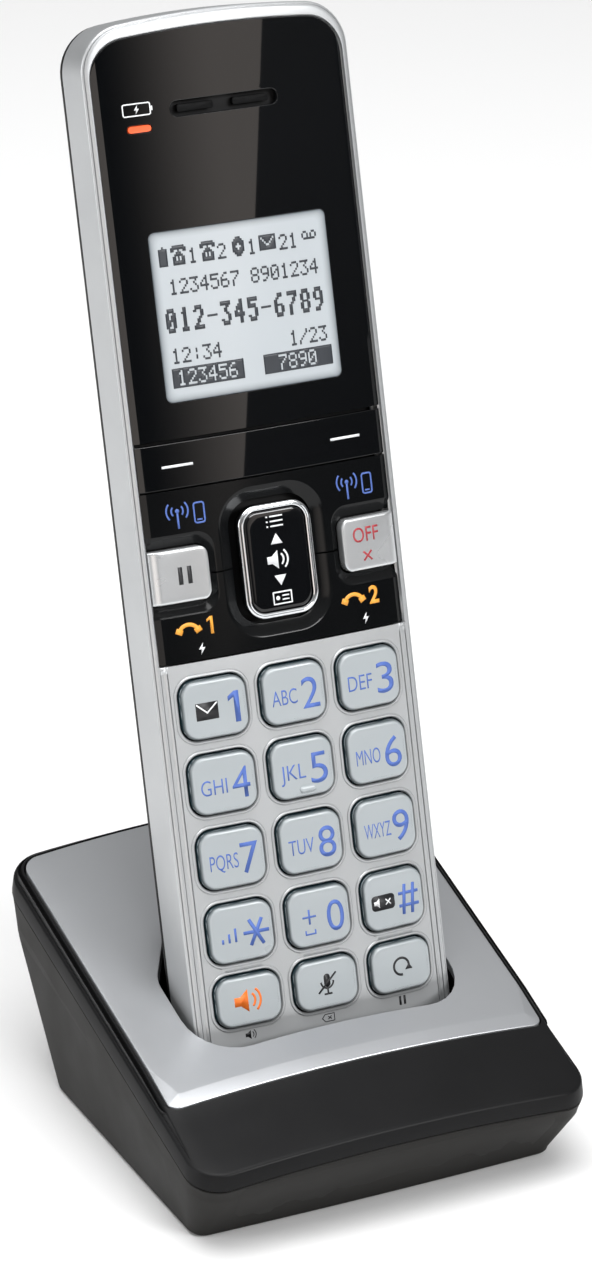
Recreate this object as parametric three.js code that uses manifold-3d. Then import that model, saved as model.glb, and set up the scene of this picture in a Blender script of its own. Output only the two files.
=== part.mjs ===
// Cordless telephone handset standing in its charging cradle.
// Millimetres, +Z up, +X to the right, the front faces -Y, the origin lies under the middle on the floor.
import * as THREE from 'three';
import { mergeVertices } from 'three/addons/utils/BufferGeometryUtils.js';
import Module from 'manifold-3d';

const wasm = await Module();
wasm.setup();

// Clearances and overruns shared by all pieces
const gap = 0.3;
const overrun = 2;
const wall = 1.8;
const thinWall = 1.2;

// Handset body
const handsetLength = 184;
const handsetWidth = 49;
const handsetThickness = 26;

// Places and sizes along the handset, as shares of its length
const toeShare = 0.16304;
const headStartShare = 0.54348;
const lensShare = 0.36902;
const softBarShare = 0.04185;
const cellBarShare = 0.08016;
const lineBarShare = 0.07717;
const earSlotShare = 0.08641;
const lightShare = 0.10054;
const displayShare = 0.27283;
const firstRowShare = 0.04402;
const keyPitchShare = 0.0712;
const lastKeyPitchShare = 0.06522;
const boardTopShare = 0.18478;
const matTopShare = 0.39674;
const loudspeakerShare = 0.33696;
const screwShare = 0.13043;
const batteryFootShare = 0.25;
const cellShare = 0.24185;
const doorFootShare = 0.20924;
const doorTopShare = 0.53261;
const handsetLean = THREE.MathUtils.degToRad(15.7);
const topRise = 1.8;
const topCorner = 7;
const footRise = 0.5;
const footCorner = 6;
const frontCrown = 1.3;
const frontBevel = 1.2;
const frontBevelDepth = 0.75;
const sideDepthTop = 10;
const sideDepthFoot = 11.1;
const rearInset = 0.5;
const toeLength = toeShare * handsetLength;
const toeDrop = 4;
const headDrop = 6;
const headStart = headStartShare * handsetLength;
const rearLevelShares = [0.06522, 0.11957, 0.16304, 0.54348, 0.69565, 0.82609];

// Rear shell section, as shares of its depth and of its largest inset
const rearInsetMost = 10.5;
const rearDepthShares = [0, 0.25, 0.6, 0.9, 1];
const rearInsetShares = [0, 0.1, 0.34, 0.68, 1];
const rearTopShare = 0.6;
const rearFootShare = 0.3;

// Black face: window lens and the three key bars below it
const faceWidth = 46.1;
const faceTopMargin = 2.7;
const faceTopCorner = 6;
const faceTopRise = 1.4;
const facetWidth = 1.3;
const facetDepth = 0.5;
const lensLength = lensShare * handsetLength;
const lensThickness = 1.7;
const lensGap = 0.6;
const softBarHeight = softBarShare * handsetLength;
const cellBarHeight = cellBarShare * handsetLength;
const lineBarHeight = lineBarShare * handsetLength;
const barThickness = 1.5;
const barRoom = 1.1;
const barCorner = 0.6;
const pivotWidth = 3;

// Openings in the lens
const earSlotWidth = 19.7;
const earSlotHeight = 2.6;
const earSlotDrop = earSlotShare * handsetLength;
const lightWidth = 4.1;
const lightHeight = 1.1;
const lightLeft = 15.6;
const lightDrop = lightShare * handsetLength;

// Display stack
const displayWidth = 36;
const displayHeight = 32;
const displayDrop = displayShare * handsetLength;
const displayThickness = 1.7;
const backlightMargin = 1.5;
const backlightThickness = 1.6;

// Function keys set into the bars
const sideKeyWidth = 10.5;
const sideKeyHeight = 9.2;
const sideKeyOffset = (faceWidth - sideKeyWidth) / 2;
const sideKeyCorner = 1.6;
const sideKeyProud = 0.7;
const navWidth = 13.6;
const navHeightShare = 0.67703;
const navHeight = navHeightShare * (cellBarHeight + lineBarHeight);
const functionRise = 0.5;
const navCorner = 3.6;
const navBand = 1.35;
const navProud = 1;
const navMoat = 1;
const navFlange = 0.7;
const scoopWidth = 2;
const scoopDepth = 0.8;

// Dialling keys
const keyPitchAcross = 14.6;
const keyPitchDown = keyPitchShare * handsetLength;
const keyPitchLast = lastKeyPitchShare * handsetLength;
const firstRowDrop = firstRowShare * handsetLength;
const keyWidth = 12.7;
const keyGapDown = 1.9;
const lastKeyGap = 2.4;
const keyHeight = keyPitchDown - keyGapDown;
const lastKeyWidth = 12.3;
const lastKeyHeight = keyPitchLast - lastKeyGap;
const keyCorner = 2.8;
const keyProud = 1.2;
const keyBevel = 0.5;
const keyBevelDepth = 0.4;
const keyFlange = 0.55;
const keyTravel = 0.8;

// Keypad deck
const deckThickness = 1.8;
const trimInset = 1.8;
const trimWidth = 0.8;
const trimDepth = 0.5;

// Inside the handset
const ceiling = 4.7;
const boardThickness = 1.6;
const boardWidth = 42;
const boardTopDrop = boardTopShare * handsetLength;
const boardFootMargin = 12;
const matWidth = 42.5;
const matTopDrop = matTopShare * handsetLength;
const matFootMargin = 9;
const receiverDiameter = 20;
const receiverThickness = 4.5;
const meshThickness = 0.6;
const microphoneDiameter = 5;
const microphoneThickness = 2.2;
const microphoneClearance = 1;
const microphoneHole = 1.2;
const speakerDiameter = 24;
const speakerThickness = 6;
const speakerDrop = loudspeakerShare * handsetLength;
const grilleSlots = 6;
const grillePitch = 3.2;
const grilleSlotWidth = 1.5;
const grilleDiameter = 21;
const lightPipeFlange = 0.8;

// Battery and its door
const cellDiameter = 10.5;
const cellLength = cellShare * handsetLength;
const batteryFoot = batteryFootShare * handsetLength;
const doorFoot = doorFootShare * handsetLength;
const doorTop = doorTopShare * handsetLength;
const doorWidth = 30;
const doorThickness = 1.6;
const doorCorner = 4;
const gripWidth = 12;
const gripGroove = 1;
const gripPitch = 2.2;
const gripDepth = 0.6;
const gripCount = 3;
const gripDrop = 8;
const ledge = 1.5;
const cellCap = 0.75;
const cellWeb = 3;

// Belt-clip notches in both sides of the rear shell
const notchDropShares = [0.20109, 0.32337];
const notchHeight = 3;
const notchInset = 1.3;
const notchDepth = 2.4;

// Charge contacts
const contactOffset = 9;
const contactDepth = 15;
const padWidth = 5;
const padDepth = 3;
const padThickness = 2.4;
const padLevel = 1.35;
const pinDiameter = 2.2;
const pinFlangeDiameter = 4.4;
const pinFlange = 0.8;
const pinTail = 1.4;

// Screws
const screwShank = 2.6;
const screwHead = 5;
const screwHeadHeight = 1.6;
const bossDiameter = 7.2;
const handsetScrewOffset = 13;
const handsetScrewDrop = screwShare * handsetLength;
const handsetScrewLength = 14;

// Cradle plan and heights
const cradleFront = -47.9;
const cradleRear = 36.6;
const cradleHalfFront = 37.6;
const cradleHalfRear = 38.2;
const cradleFrontBulge = 0.5;
const cradleFrontCorner = 8.5;
const cradleRearCorner = 7;
const partingFrontHeight = 13.3;
const partingSlope = Math.tan(THREE.MathUtils.degToRad(14.4));
const deckFrontHeight = 22.1;
const deckSlope = Math.tan(THREE.MathUtils.degToRad(15.1));
const deckCrown = 2.2;
const bandHeight = 2.86;
const bandInset = 0.35;
const partingGap = 0.6;

// Deck plate
const plateFront = -32.2;
const plateRear = 31.8;
const plateSideFront = 2;
const plateSideRear = 2.1;
const plateHalfFront = cradleHalfFront - plateSideFront;
const plateHalfRear = cradleHalfRear - plateSideRear;
const plateCorner = 3.2;
const plateThickness = 1.6;
const plateBevel = 1.5;
const plateBevelDepth = 0.9;
const plateProud = 0.5;
const plateRim = 0.5;

// Tub
const tubFront = -39.3;
const tubRear = 22.8;
const tubSideFront = 3.1;
const tubSideRear = 2.9;
const tubHalfFront = cradleHalfFront - tubSideFront;
const tubHalfRear = cradleHalfRear - tubSideRear;
const tubFrontCorner = 6;
const tubRearCorner = 6;
const tubShoulderShare = 0.2;
const tubShoulderInsetShare = 0.1;
const tubInset = 0.2;
const tubEdge = 1;
const floorThickness = 2;

// Handset well, in the handset's own directions
const handsetToeY = -22.3;
const handsetToeZ = 16.1;
const wellFront = -3.4;
const wellHalf = 25.8;
const wellFrontCorner = 9;
const wellShoulder = 13;
const wellRearHalf = 17;
const wellRearCorner = 6;

// Feet, cradle screws, board and power inlet
const footDiameter = 9;
const footThickness = 1.2;
const footProud = 0.4;
const footInset = 6.5;
const footX = tubHalfFront - footInset;
const footFrontY = -32;
const footRearY = 15;
const cradleScrewFrontShare = 0.42553;
const cradleScrewFrontX = cradleScrewFrontShare * cradleHalfFront;
const cradleScrewFrontY = -33.3;
const cradleScrewRearInset = 9.2;
const cradleScrewRearX = cradleHalfRear - cradleScrewRearInset;
const cradleScrewRearY = 6;
const cradleScrewLength = 16;
const cradleBossSplit = 12;
const cradleBoardWidth = 40;
const cradleBoardFront = -13;
const cradleBoardRear = 20.5;
const cradleBoardHeight = 4.2;
const postDiameter = 5;
const inletWidth = 9;
const inletHeight = 10.5;
const inletFront = 11;
const inletRear = 24.6;
const inletBore = 6.4;
const inletPin = 2;
const inletBoreDepth = 9;

// Step counts of round forms
const cornerSteps = 2;
const bigCornerSteps = 4;
const sideSpans = 2;
const crownSpans = 3;
const roundSteps = 12;

// Finishes
const finishes = {
  silver: { color: 0xb4b6b8, roughness: 0.42, metalness: 0.55 },
  bright: { color: 0xd6d8da, roughness: 0.25, metalness: 0.8 },
  gloss: { color: 0x101113, roughness: 0.12, metalness: 0 },
  black: { color: 0x26282a, roughness: 0.5, metalness: 0 },
  tub: { color: 0x303131, roughness: 0.6, metalness: 0 },
  keycap: { color: 0xc3cccf, roughness: 0.35, metalness: 0 },
  rubber: { color: 0x1b1b1c, roughness: 0.9, metalness: 0 },
  board: { color: 0x1f5a38, roughness: 0.6, metalness: 0 },
  contact: { color: 0xc9a860, roughness: 0.3, metalness: 1 },
  steel: { color: 0x8d9092, roughness: 0.35, metalness: 1 },
  display: { color: 0xbfc9c6, roughness: 0.3, metalness: 0 },
  diffuser: { color: 0xe9ebe6, roughness: 0.7, metalness: 0 },
  amber: { color: 0xf25a1c, roughness: 0.3, metalness: 0 },
  wrap: { color: 0x3b6f9c, roughness: 0.4, metalness: 0 },
};

// Turns a closed geometry into a solid with its faces pointing out
function solidOf(geometry) {
  const bare = geometry.index ? geometry.toNonIndexed() : geometry.clone();
  bare.deleteAttribute('normal');
  bare.deleteAttribute('uv');
  const merged = mergeVertices(bare, 1e-5);
  const points = merged.getAttribute('position').array;
  const faces = Uint32Array.from(merged.index.array);
  const a = new THREE.Vector3();
  const b = new THREE.Vector3();
  const c = new THREE.Vector3();
  const kept = [];
  let volume = 0;
  for (let i = 0; i < faces.length; i += 3) {
    const [p, q, r] = faces.subarray(i, i + 3);
    if (p === q || q === r || r === p) continue;
    kept.push(p, q, r);
    a.fromArray(points, p * 3);
    b.fromArray(points, q * 3);
    c.fromArray(points, r * 3);
    volume += a.dot(b.cross(c));
  }
  if (volume < 0) kept.reverse();
  return new wasm.Manifold(new wasm.Mesh({
    numProp: 3,
    vertProperties: Float32Array.from(points),
    triVerts: Uint32Array.from(kept),
  }));
}

// Turns a solid back into a geometry
function geometryOf(solid) {
  const mesh = solid.getMesh();
  const geometry = new THREE.BufferGeometry();
  geometry.setAttribute('position', new THREE.BufferAttribute(Float32Array.from(mesh.vertProperties), 3));
  geometry.setIndex(new THREE.BufferAttribute(Uint32Array.from(mesh.triVerts), 1));
  geometry.computeVertexNormals();
  return geometry;
}

// Walks through stops, each with an optional fillet radius and a count of spans to the next stop
function filletPath(stops) {
  const path = [];
  const at = stops.map((stop) => new THREE.Vector2(stop.x, stop.y));
  const ends = [];
  stops.forEach((stop, i) => {
    const arc = [];
    if (stop.r > 0 && i > 0 && i < stops.length - 1) {
      const from = at[i].clone().sub(at[i - 1]).normalize();
      const to = at[i + 1].clone().sub(at[i]).normalize();
      const turn = Math.atan2(from.cross(to), from.dot(to));
      const reach = stop.r * Math.tan(Math.abs(turn) / 2);
      const start = at[i].clone().addScaledVector(from, -reach);
      const side = new THREE.Vector2(-from.y, from.x).multiplyScalar(Math.sign(turn) * stop.r);
      const centre = start.clone().add(side);
      const steps = stop.steps ?? cornerSteps;
      for (let k = 0; k <= steps; k += 1) {
        arc.push(start.clone().rotateAround(centre, turn * k / steps));
      }
    } else {
      arc.push(at[i].clone());
    }
    ends.push(arc);
  });
  ends.forEach((arc, i) => {
    path.push(...arc);
    const spans = stops[i].spans ?? 1;
    if (i === ends.length - 1) return;
    for (let k = 1; k < spans; k += 1) {
      path.push(arc[arc.length - 1].clone().lerp(ends[i + 1][0], k / spans));
    }
  });
  return path;
}

// Completes a half outline, which starts and ends on x = 0, with its mirror image
function mirrored(half) {
  const other = half.slice(1, -1).reverse().map((p) => new THREE.Vector2(-p.x, p.y));
  return [...half, ...other];
}

// Rounded rectangle about the origin
function roundedRect(width, height, radius, steps = cornerSteps) {
  return mirrored(filletPath([
    { x: 0, y: -height / 2 },
    { x: width / 2, y: -height / 2, r: radius, steps },
    { x: width / 2, y: height / 2, r: radius, steps },
    { x: 0, y: height / 2 },
  ]));
}

function moved(outline, x, y) {
  return outline.map((p) => new THREE.Vector2(p.x + x, p.y + y));
}

function blended(one, other, share) {
  return one.map((p, i) => p.clone().lerp(other[i], share));
}

// A ring on the handset's face: the outline lies in x and z, its depth y is a number or a function
function faceRing(outline, depth) {
  const depthAt = typeof depth === 'function' ? depth : () => depth;
  return outline.map((p) => new THREE.Vector3(p.x, depthAt(p.x, p.y), p.y));
}

// A ring in plan: the outline lies in x and y, its height z is a number or a function
function planRing(outline, height) {
  const heightAt = typeof height === 'function' ? height : () => height;
  return outline.map((p) => new THREE.Vector3(p.x, p.y, heightAt(p.x, p.y)));
}

// Closed body through rings of equal count, its end faces laid as rungs between the mirrored halves
function loft(rings) {
  const count = rings[0].length;
  const positions = rings.flat().flatMap((p) => [p.x, p.y, p.z]);
  const faces = [];
  for (let r = 0; r < rings.length - 1; r += 1) {
    for (let i = 0; i < count; i += 1) {
      const j = (i + 1) % count;
      const low = r * count;
      const high = low + count;
      faces.push(low + i, low + j, high + j, low + i, high + j, high + i);
    }
  }
  const capped = (base, flip) => {
    const half = count / 2;
    const add = (a, b, c) => {
      const face = flip ? [a, c, b] : [a, b, c];
      faces.push(...face.map((index) => base + index));
    };
    add(0, count - 1, 1);
    for (let i = 1; i < half - 1; i += 1) {
      add(i, count - i, count - i - 1);
      add(i, count - i - 1, i + 1);
    }
    add(half - 1, half + 1, half);
  };
  capped(0, false);
  capped((rings.length - 1) * count, true);
  const geometry = new THREE.BufferGeometry();
  geometry.setAttribute('position', new THREE.Float32BufferAttribute(positions, 3));
  geometry.setIndex(faces);
  return solidOf(geometry);
}

// Prism through the handset's depth
function facePrism(outline, from, to) {
  return loft([faceRing(outline, from), faceRing(outline, to)]);
}

// Round body from a profile of radius and height
function turned(profile) {
  return solidOf(new THREE.LatheGeometry(profile.map(([r, h]) => new THREE.Vector2(r, h)), roundSteps)
    .rotateX(Math.PI / 2));
}

// Plain cylinder standing on z = from
function post(diameter, from, to) {
  return turned([[0, from], [diameter / 2, from], [diameter / 2, to], [0, to]]);
}

function block(width, depth, height) {
  return solidOf(new THREE.BoxGeometry(width, depth, height));
}

// Turns a body that stands along z so that it points along the handset's depth
function laidBack(solid) {
  return solid.rotate([-90, 0, 0]);
}

// The handset's front is crowned across its width
function crownAt(x) {
  return frontCrown * (2 * x / handsetWidth) ** 2;
}

function fromTop(drop) {
  return handsetLength - drop;
}

// Side wall depth of the front shell at a height
function partingAt(z) {
  return THREE.MathUtils.lerp(sideDepthFoot, sideDepthTop, z / handsetLength);
}

// Depth of the handset's back at a height
function backAt(z) {
  const toe = Math.max(0, 1 - z / toeLength);
  const head = Math.max(0, (z - headStart) / (handsetLength - headStart));
  return handsetThickness - toeDrop * toe ** 2 - headDrop * head ** 2;
}

// Outline of the handset seen from the front, drawn in by separate amounts, with points at the given levels
function handsetOutline(side, top = side, foot = side, levels = []) {
  const half = handsetWidth / 2 - side;
  const least = thinWall;
  const outline = mirrored(filletPath([
    { x: 0, y: foot, spans: sideSpans },
    { x: half, y: foot, r: Math.max(footCorner - side, least) },
    ...levels.map((level) => ({ x: half, y: level })),
    { x: half, y: handsetLength - topRise - top, r: Math.max(topCorner - side, least), steps: bigCornerSteps,
      spans: crownSpans },
    { x: 0, y: handsetLength - topRise - top },
  ]));
  return outline.map((p) => {
    const swell = 1 - (p.x / half) ** 2;
    const rise = p.y > handsetLength / 2 ? topRise * swell : -footRise * swell + footRise;
    return new THREE.Vector2(p.x, p.y + rise);
  });
}

// Everything behind the crowned front, moved in by an offset
function behindFront(offset, back = handsetThickness + overrun) {
  const half = handsetWidth / 2 + overrun;
  const edge = [];
  for (let i = 0; i <= crownSpans; i += 1) {
    const x = half * (1 - i / crownSpans);
    edge.push(new THREE.Vector2(x, crownAt(x) + offset));
  }
  const section = mirrored([new THREE.Vector2(0, back), new THREE.Vector2(half, back), ...edge]);
  return loft([planRing(section, -overrun), planRing(section, handsetLength + overrun)]);
}

// Heights of the cradle's parting line and deck
function crownedPlane(x, y, frontHeight, frontY, slope, half) {
  return frontHeight + (y - frontY) * slope + deckCrown * (1 - (x / half) ** 2);
}

function partingHeight(x, y) {
  return crownedPlane(x, y, partingFrontHeight, cradleFront, partingSlope, cradleHalfFront);
}

function deckHeight(x, y) {
  return crownedPlane(x, y, deckFrontHeight, plateFront, deckSlope, plateHalfFront);
}

// Trapezoid plan with rounded corners and a slightly bowed front
function cradlePlan(front, rear, halfFront, halfRear, frontCorner, rearCorner, inset = 0) {
  const least = thinWall;
  const outline = mirrored(filletPath([
    { x: 0, y: front + inset, spans: crownSpans },
    { x: halfFront - inset, y: front + inset, r: Math.max(frontCorner - inset, least), steps: bigCornerSteps,
      spans: sideSpans },
    { x: halfRear - inset, y: rear - inset, r: Math.max(rearCorner - inset, least), steps: bigCornerSteps,
      spans: crownSpans },
    { x: 0, y: rear - inset },
  ]));
  return outline.map((p) => {
    const bow = p.y < (front + rear) / 2 ? cradleFrontBulge * (1 - (p.x / halfFront) ** 2) : 0;
    return new THREE.Vector2(p.x, p.y - bow);
  });
}

function coverPlan(inset) {
  return cradlePlan(cradleFront, cradleRear, cradleHalfFront, cradleHalfRear, cradleFrontCorner,
    cradleRearCorner, inset);
}

function platePlan(inset) {
  return cradlePlan(plateFront, plateRear, plateHalfFront, plateHalfRear, plateCorner, plateCorner, inset);
}

function tubPlan(inset) {
  return cradlePlan(tubFront, tubRear, tubHalfFront, tubHalfRear, tubFrontCorner, tubRearCorner, inset);
}

// Everything under the crowned deck, raised by an offset
function underDeck(offset) {
  const half = Math.max(cradleHalfFront, cradleHalfRear) + overrun;
  const edge = [];
  for (let i = 0; i <= crownSpans; i += 1) {
    edge.push(half * (1 - i / crownSpans));
  }
  const ringAt = (y) => {
    const top = edge.map((x) => new THREE.Vector2(x, deckHeight(x, y) + offset));
    const base = -overrun;
    const section = mirrored([new THREE.Vector2(0, base), new THREE.Vector2(half, base), ...top]);
    return section.map((p) => new THREE.Vector3(p.x, y, p.y));
  };
  return loft([ringAt(cradleFront - overrun), ringAt(cradleRear + overrun)]);
}

// Handset frame: x to the right, y into the handset, z up along it, zero at the middle of its foot
const handset = new THREE.Group();
handset.position.set(0, handsetToeY, handsetToeZ);
handset.rotation.x = -handsetLean;
handset.updateMatrix();

function toCradle(solid) {
  return solid.transform(handset.matrix.elements);
}

// Well section in the handset's own directions, grown by an amount
function wellSection(grow) {
  return mirrored(filletPath([
    { x: 0, y: wellFront - grow },
    { x: wellHalf + grow, y: wellFront - grow, r: wellFrontCorner + grow, steps: bigCornerSteps },
    { x: wellHalf + grow, y: wellShoulder, r: wellRearCorner },
    { x: wellRearHalf + grow, y: handsetThickness + gap + grow, r: wellRearCorner + grow },
    { x: 0, y: handsetThickness + gap + grow },
  ]));
}

function wellPrism(grow, from, to) {
  const section = wellSection(grow);
  return toCradle(loft([planRing(section, from), planRing(section, to)]));
}

const scene = new THREE.Group();
const cradle = new THREE.Group();
scene.add(cradle, handset);

function add(parent, name, solid, finish) {
  const mesh = new THREE.Mesh(geometryOf(solid), new THREE.MeshStandardMaterial(finishes[finish]));
  mesh.name = name;
  parent.add(mesh);
  return mesh;
}

// Levels of the layers behind the front, measured from the crown
const lensBack = lensThickness + gap / 3;
const lensSeat = lensBack + gap;
const barSeat = barThickness + barRoom;
const matTop = ceiling + gap;
const boardLevel = ceiling + gap + backlightThickness + gap;
const matBack = boardLevel - gap;
const flangeBack = matTop - gap - keyTravel;

// Heights of the black face's pieces
const faceTop = fromTop(faceTopMargin);
const lensFoot = faceTop - lensLength;
const softTop = lensFoot - lensGap;
const softFoot = softTop - softBarHeight;
const cellTop = softFoot - gap;
const cellFoot = cellTop - cellBarHeight;
const lineTop = cellFoot - gap;
const lineFoot = lineTop - lineBarHeight;
const faceFoot = lineFoot - gap;
const functionHeightAt = (cellFoot + lineTop) / 2 + functionRise;

// Outline of the black face between two heights, its top following the handset's top
function faceOutline(foot, top, grow, roundTop) {
  const half = faceWidth / 2 + grow;
  const topRadius = roundTop ? faceTopCorner + grow : barCorner;
  const rise = roundTop ? faceTopRise : 0;
  const outline = mirrored(filletPath([
    { x: 0, y: foot - grow },
    { x: half, y: foot - grow, r: barCorner },
    { x: half, y: top - rise + grow, r: topRadius, steps: bigCornerSteps, spans: crownSpans },
    { x: 0, y: top - rise + grow },
  ]));
  return outline.map((p) => {
    const lift = p.y > (foot + top) / 2 ? rise * (1 - (p.x / half) ** 2) : 0;
    return new THREE.Vector2(p.x, p.y + lift);
  });
}

// Crowned plate of the black face with its edges turned down at the sides
function facePlate(foot, top, thickness, roundTop) {
  const outer = faceOutline(foot, top, 0, roundTop);
  const squeeze = (amount) => outer.map((p) => new THREE.Vector2(p.x * (1 - 2 * amount / faceWidth), p.y));
  const rings = [
    faceRing(squeeze(2 * facetWidth), (x) => crownAt(x) - facetDepth),
    faceRing(outer, (x) => crownAt(x) + facetDepth),
    faceRing(outer, (x) => crownAt(x) + thickness + overrun),
  ];
  const front = behindFront(gap / 3);
  const back = behindFront(gap / 3 + thickness);
  return loft(rings).intersect(front).subtract(back);
}

// Tapered cutter that scoops the face round a key
function scoopCut(width, height, radius, x, z) {
  const inner = moved(roundedRect(width, height, radius), x, z);
  const grown = roundedRect(width + 2 * scoopWidth, height + 2 * scoopWidth, radius + scoopWidth);
  const outer = moved(grown, x, z);
  return loft([
    faceRing(outer, -overrun),
    faceRing(outer, (u) => crownAt(u)),
    faceRing(inner, (u) => crownAt(u) + scoopDepth),
    faceRing(inner, ceiling + overrun),
  ]);
}

// Hole for a function key beside the navigation key
const sideKeyRoom = sideKeyWidth + 2 * gap;
function faceKeyCuts() {
  const navRoom = [navWidth + 2 * navMoat, navHeight + 2 * navMoat, navCorner + navMoat];
  const cuts = [scoopCut(...navRoom, 0, functionHeightAt)];
  for (const side of [-1, 1]) {
    const reach = sideKeyRoom + 2 * scoopWidth;
    const x = side * (sideKeyOffset - sideKeyWidth / 2 - gap + reach / 2);
    cuts.push(scoopCut(reach, sideKeyHeight + 2 * gap, sideKeyCorner + gap, x, functionHeightAt));
  }
  return cuts.reduce((all, cut) => all.add(cut));
}

// Front shell
const keyRows = [0, 1, 2, 3, 4].map((row) => ({
  z: faceFoot - firstRowDrop - keyPitchDown * Math.min(row, 3) - (row === 4 ? keyPitchLast : 0),
  width: row === 4 ? lastKeyWidth : keyWidth,
  height: row === 4 ? lastKeyHeight : keyHeight,
}));
const lastRow = keyRows[keyRows.length - 1];
const microphoneTop = lastRow.z - lastRow.height / 2 - keyFlange - microphoneClearance;
const microphoneHeight = microphoneTop - microphoneDiameter / 2;
const keyNames = [
  ['key_1', 'key_2', 'key_3'],
  ['key_4', 'key_5', 'key_6'],
  ['key_7', 'key_8', 'key_9'],
  ['key_star', 'key_0', 'key_pound'],
  ['key_speaker', 'key_mute', 'key_redial'],
];
const keys = keyRows.flatMap((row, r) => [-1, 0, 1].map((column) => ({
  name: keyNames[r][column + 1],
  x: column * keyPitchAcross,
  ...row,
})));

function keyOutline(key, grow) {
  const outline = roundedRect(key.width + 2 * grow, key.height + 2 * grow, Math.max(keyCorner + grow, gap));
  return moved(outline, key.x, key.z);
}

const receiverHeight = fromTop(earSlotDrop);
const displayHeightAt = fromTop(displayDrop);
const handsetScrewHeight = fromTop(handsetScrewDrop);
const lightHeightAt = fromTop(lightDrop);
const handsetBossFoot = boardLevel + boardThickness;

function frontShell() {
  const rings = [
    faceRing(handsetOutline(2 * frontBevel), (x) => crownAt(x) - frontBevelDepth),
    faceRing(handsetOutline(0), (x) => crownAt(x) + frontBevelDepth),
    faceRing(handsetOutline(0), (x, z) => partingAt(z)),
  ];
  let shell = loft(rings).intersect(behindFront(0));
  const deepest = sideDepthFoot + overrun;
  // Room inside: deep behind the face, shallower behind the keypad
  const inside = facePrism(handsetOutline(wall), -overrun, deepest);
  const padZone = facePrism(moved(roundedRect(handsetWidth, faceFoot - wall, gap), 0, (faceFoot - wall) / 2),
    -overrun, deepest);
  shell = shell.subtract(inside.intersect(behindFront(deckThickness)).intersect(padZone));
  shell = shell.subtract(inside.intersect(facePrism(handsetOutline(0), ceiling, deepest)));
  // Recess for the lens and, deeper, for the bars
  const lensRecess = facePrism(faceOutline(softTop, faceTop, gap, true), -overrun, ceiling);
  shell = shell.subtract(lensRecess.subtract(behindFront(lensSeat)));
  const barRecess = facePrism(faceOutline(faceFoot + gap, softTop + gap, gap, false), -overrun, ceiling);
  shell = shell.subtract(barRecess.subtract(behindFront(barSeat)));
  const barWindowWidth = faceWidth - 2 * wall - 2 * thinWall;
  const barWindow = moved(roundedRect(barWindowWidth, softTop - faceFoot - 2 * thinWall, wall), 0,
    (softTop + faceFoot) / 2);
  shell = shell.subtract(facePrism(barWindow, -overrun, deepest));
  // Windows for the display, the earpiece and the charge light
  const displayWindow = moved(roundedRect(displayWidth + 2 * gap, displayHeight + 2 * gap, thinWall), 0,
    displayHeightAt);
  const earWindow = moved(roundedRect(earSlotWidth + 2 * thinWall, earSlotHeight + 2 * thinWall, thinWall), 0,
    receiverHeight);
  const lightWindow = moved(roundedRect(lightWidth + 2 * gap, lightHeight + 2 * gap, gap), -lightLeft,
    lightHeightAt);
  for (const window of [displayWindow, earWindow, lightWindow]) {
    shell = shell.subtract(facePrism(window, -overrun, deepest));
  }
  // Key holes and the two trim grooves beside them
  for (const key of keys) {
    shell = shell.subtract(facePrism(keyOutline(key, gap), -overrun, ceiling));
  }
  for (const side of [-1, 1]) {
    const x = side * (handsetWidth / 2 - trimInset - trimWidth / 2);
    const top = faceFoot - thinWall;
    const groove = block(trimWidth, overrun + trimDepth, top + overrun)
      .translate([x, crownAt(x) + (trimDepth - overrun) / 2, (top - overrun) / 2]);
    shell = shell.subtract(groove);
  }
  // Microphone hole, receiver ring and screw bosses
  shell = shell.subtract(laidBack(post(microphoneHole, -overrun, ceiling))
    .translate([0, 0, microphoneHeight]));
  const ringOuter = laidBack(post(receiverDiameter + 2 * gap + 2 * thinWall, 0, receiverThickness / 2));
  const ringInner = laidBack(post(receiverDiameter + 2 * gap, -overrun, receiverThickness));
  shell = shell.add(ringOuter.subtract(ringInner).translate([0, ceiling - gap / 3, receiverHeight])
    .intersect(facePrism(handsetOutline(thinWall), 0, deepest)));
  for (const side of [-1, 1]) {
    const boss = laidBack(post(bossDiameter, ceiling - gap, handsetBossFoot));
    const bore = laidBack(post(screwShank + 2 * gap, ceiling + gap, deepest));
    shell = shell.add(boss.translate([side * handsetScrewOffset, 0, handsetScrewHeight]));
    shell = shell.subtract(bore.translate([side * handsetScrewOffset, 0, handsetScrewHeight]));
  }
  return shell;
}
add(handset, 'front_shell', frontShell(), 'silver');

// Window lens, cut for the earpiece and the charge light
function slotOutline(width, height, grow, x, z) {
  const tall = height + 2 * grow;
  return moved(roundedRect(width + 2 * grow, tall, tall * 0.45), x, z);
}

function displayLens() {
  let lens = facePlate(lensFoot, faceTop, lensThickness, true);
  const earSlot = slotOutline(earSlotWidth, earSlotHeight, 0, 0, receiverHeight);
  const lightSlot = slotOutline(lightWidth, lightHeight, gap / 2, -lightLeft, lightHeightAt);
  for (const slot of [earSlot, lightSlot]) {
    lens = lens.subtract(facePrism(slot, -overrun, ceiling));
  }
  return lens;
}
add(handset, 'display_lens', displayLens(), 'gloss');

// Display glass in its window and the backlight behind it
const displayFront = ceiling - gap / 3 - displayThickness;
const displayOutline = moved(roundedRect(displayWidth, displayHeight, thinWall), 0, displayHeightAt);
const displayBack = displayFront + displayThickness;
add(handset, 'lcd_panel', facePrism(displayOutline, displayFront, displayBack), 'display');
const backlightSize = [displayWidth + 2 * backlightMargin, displayHeight + 2 * backlightMargin];
const backlightOutline = moved(roundedRect(...backlightSize, backlightMargin), 0, displayHeightAt);
add(handset, 'lcd_backlight', facePrism(backlightOutline, ceiling + gap, ceiling + gap + backlightThickness),
  'diffuser');

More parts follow.
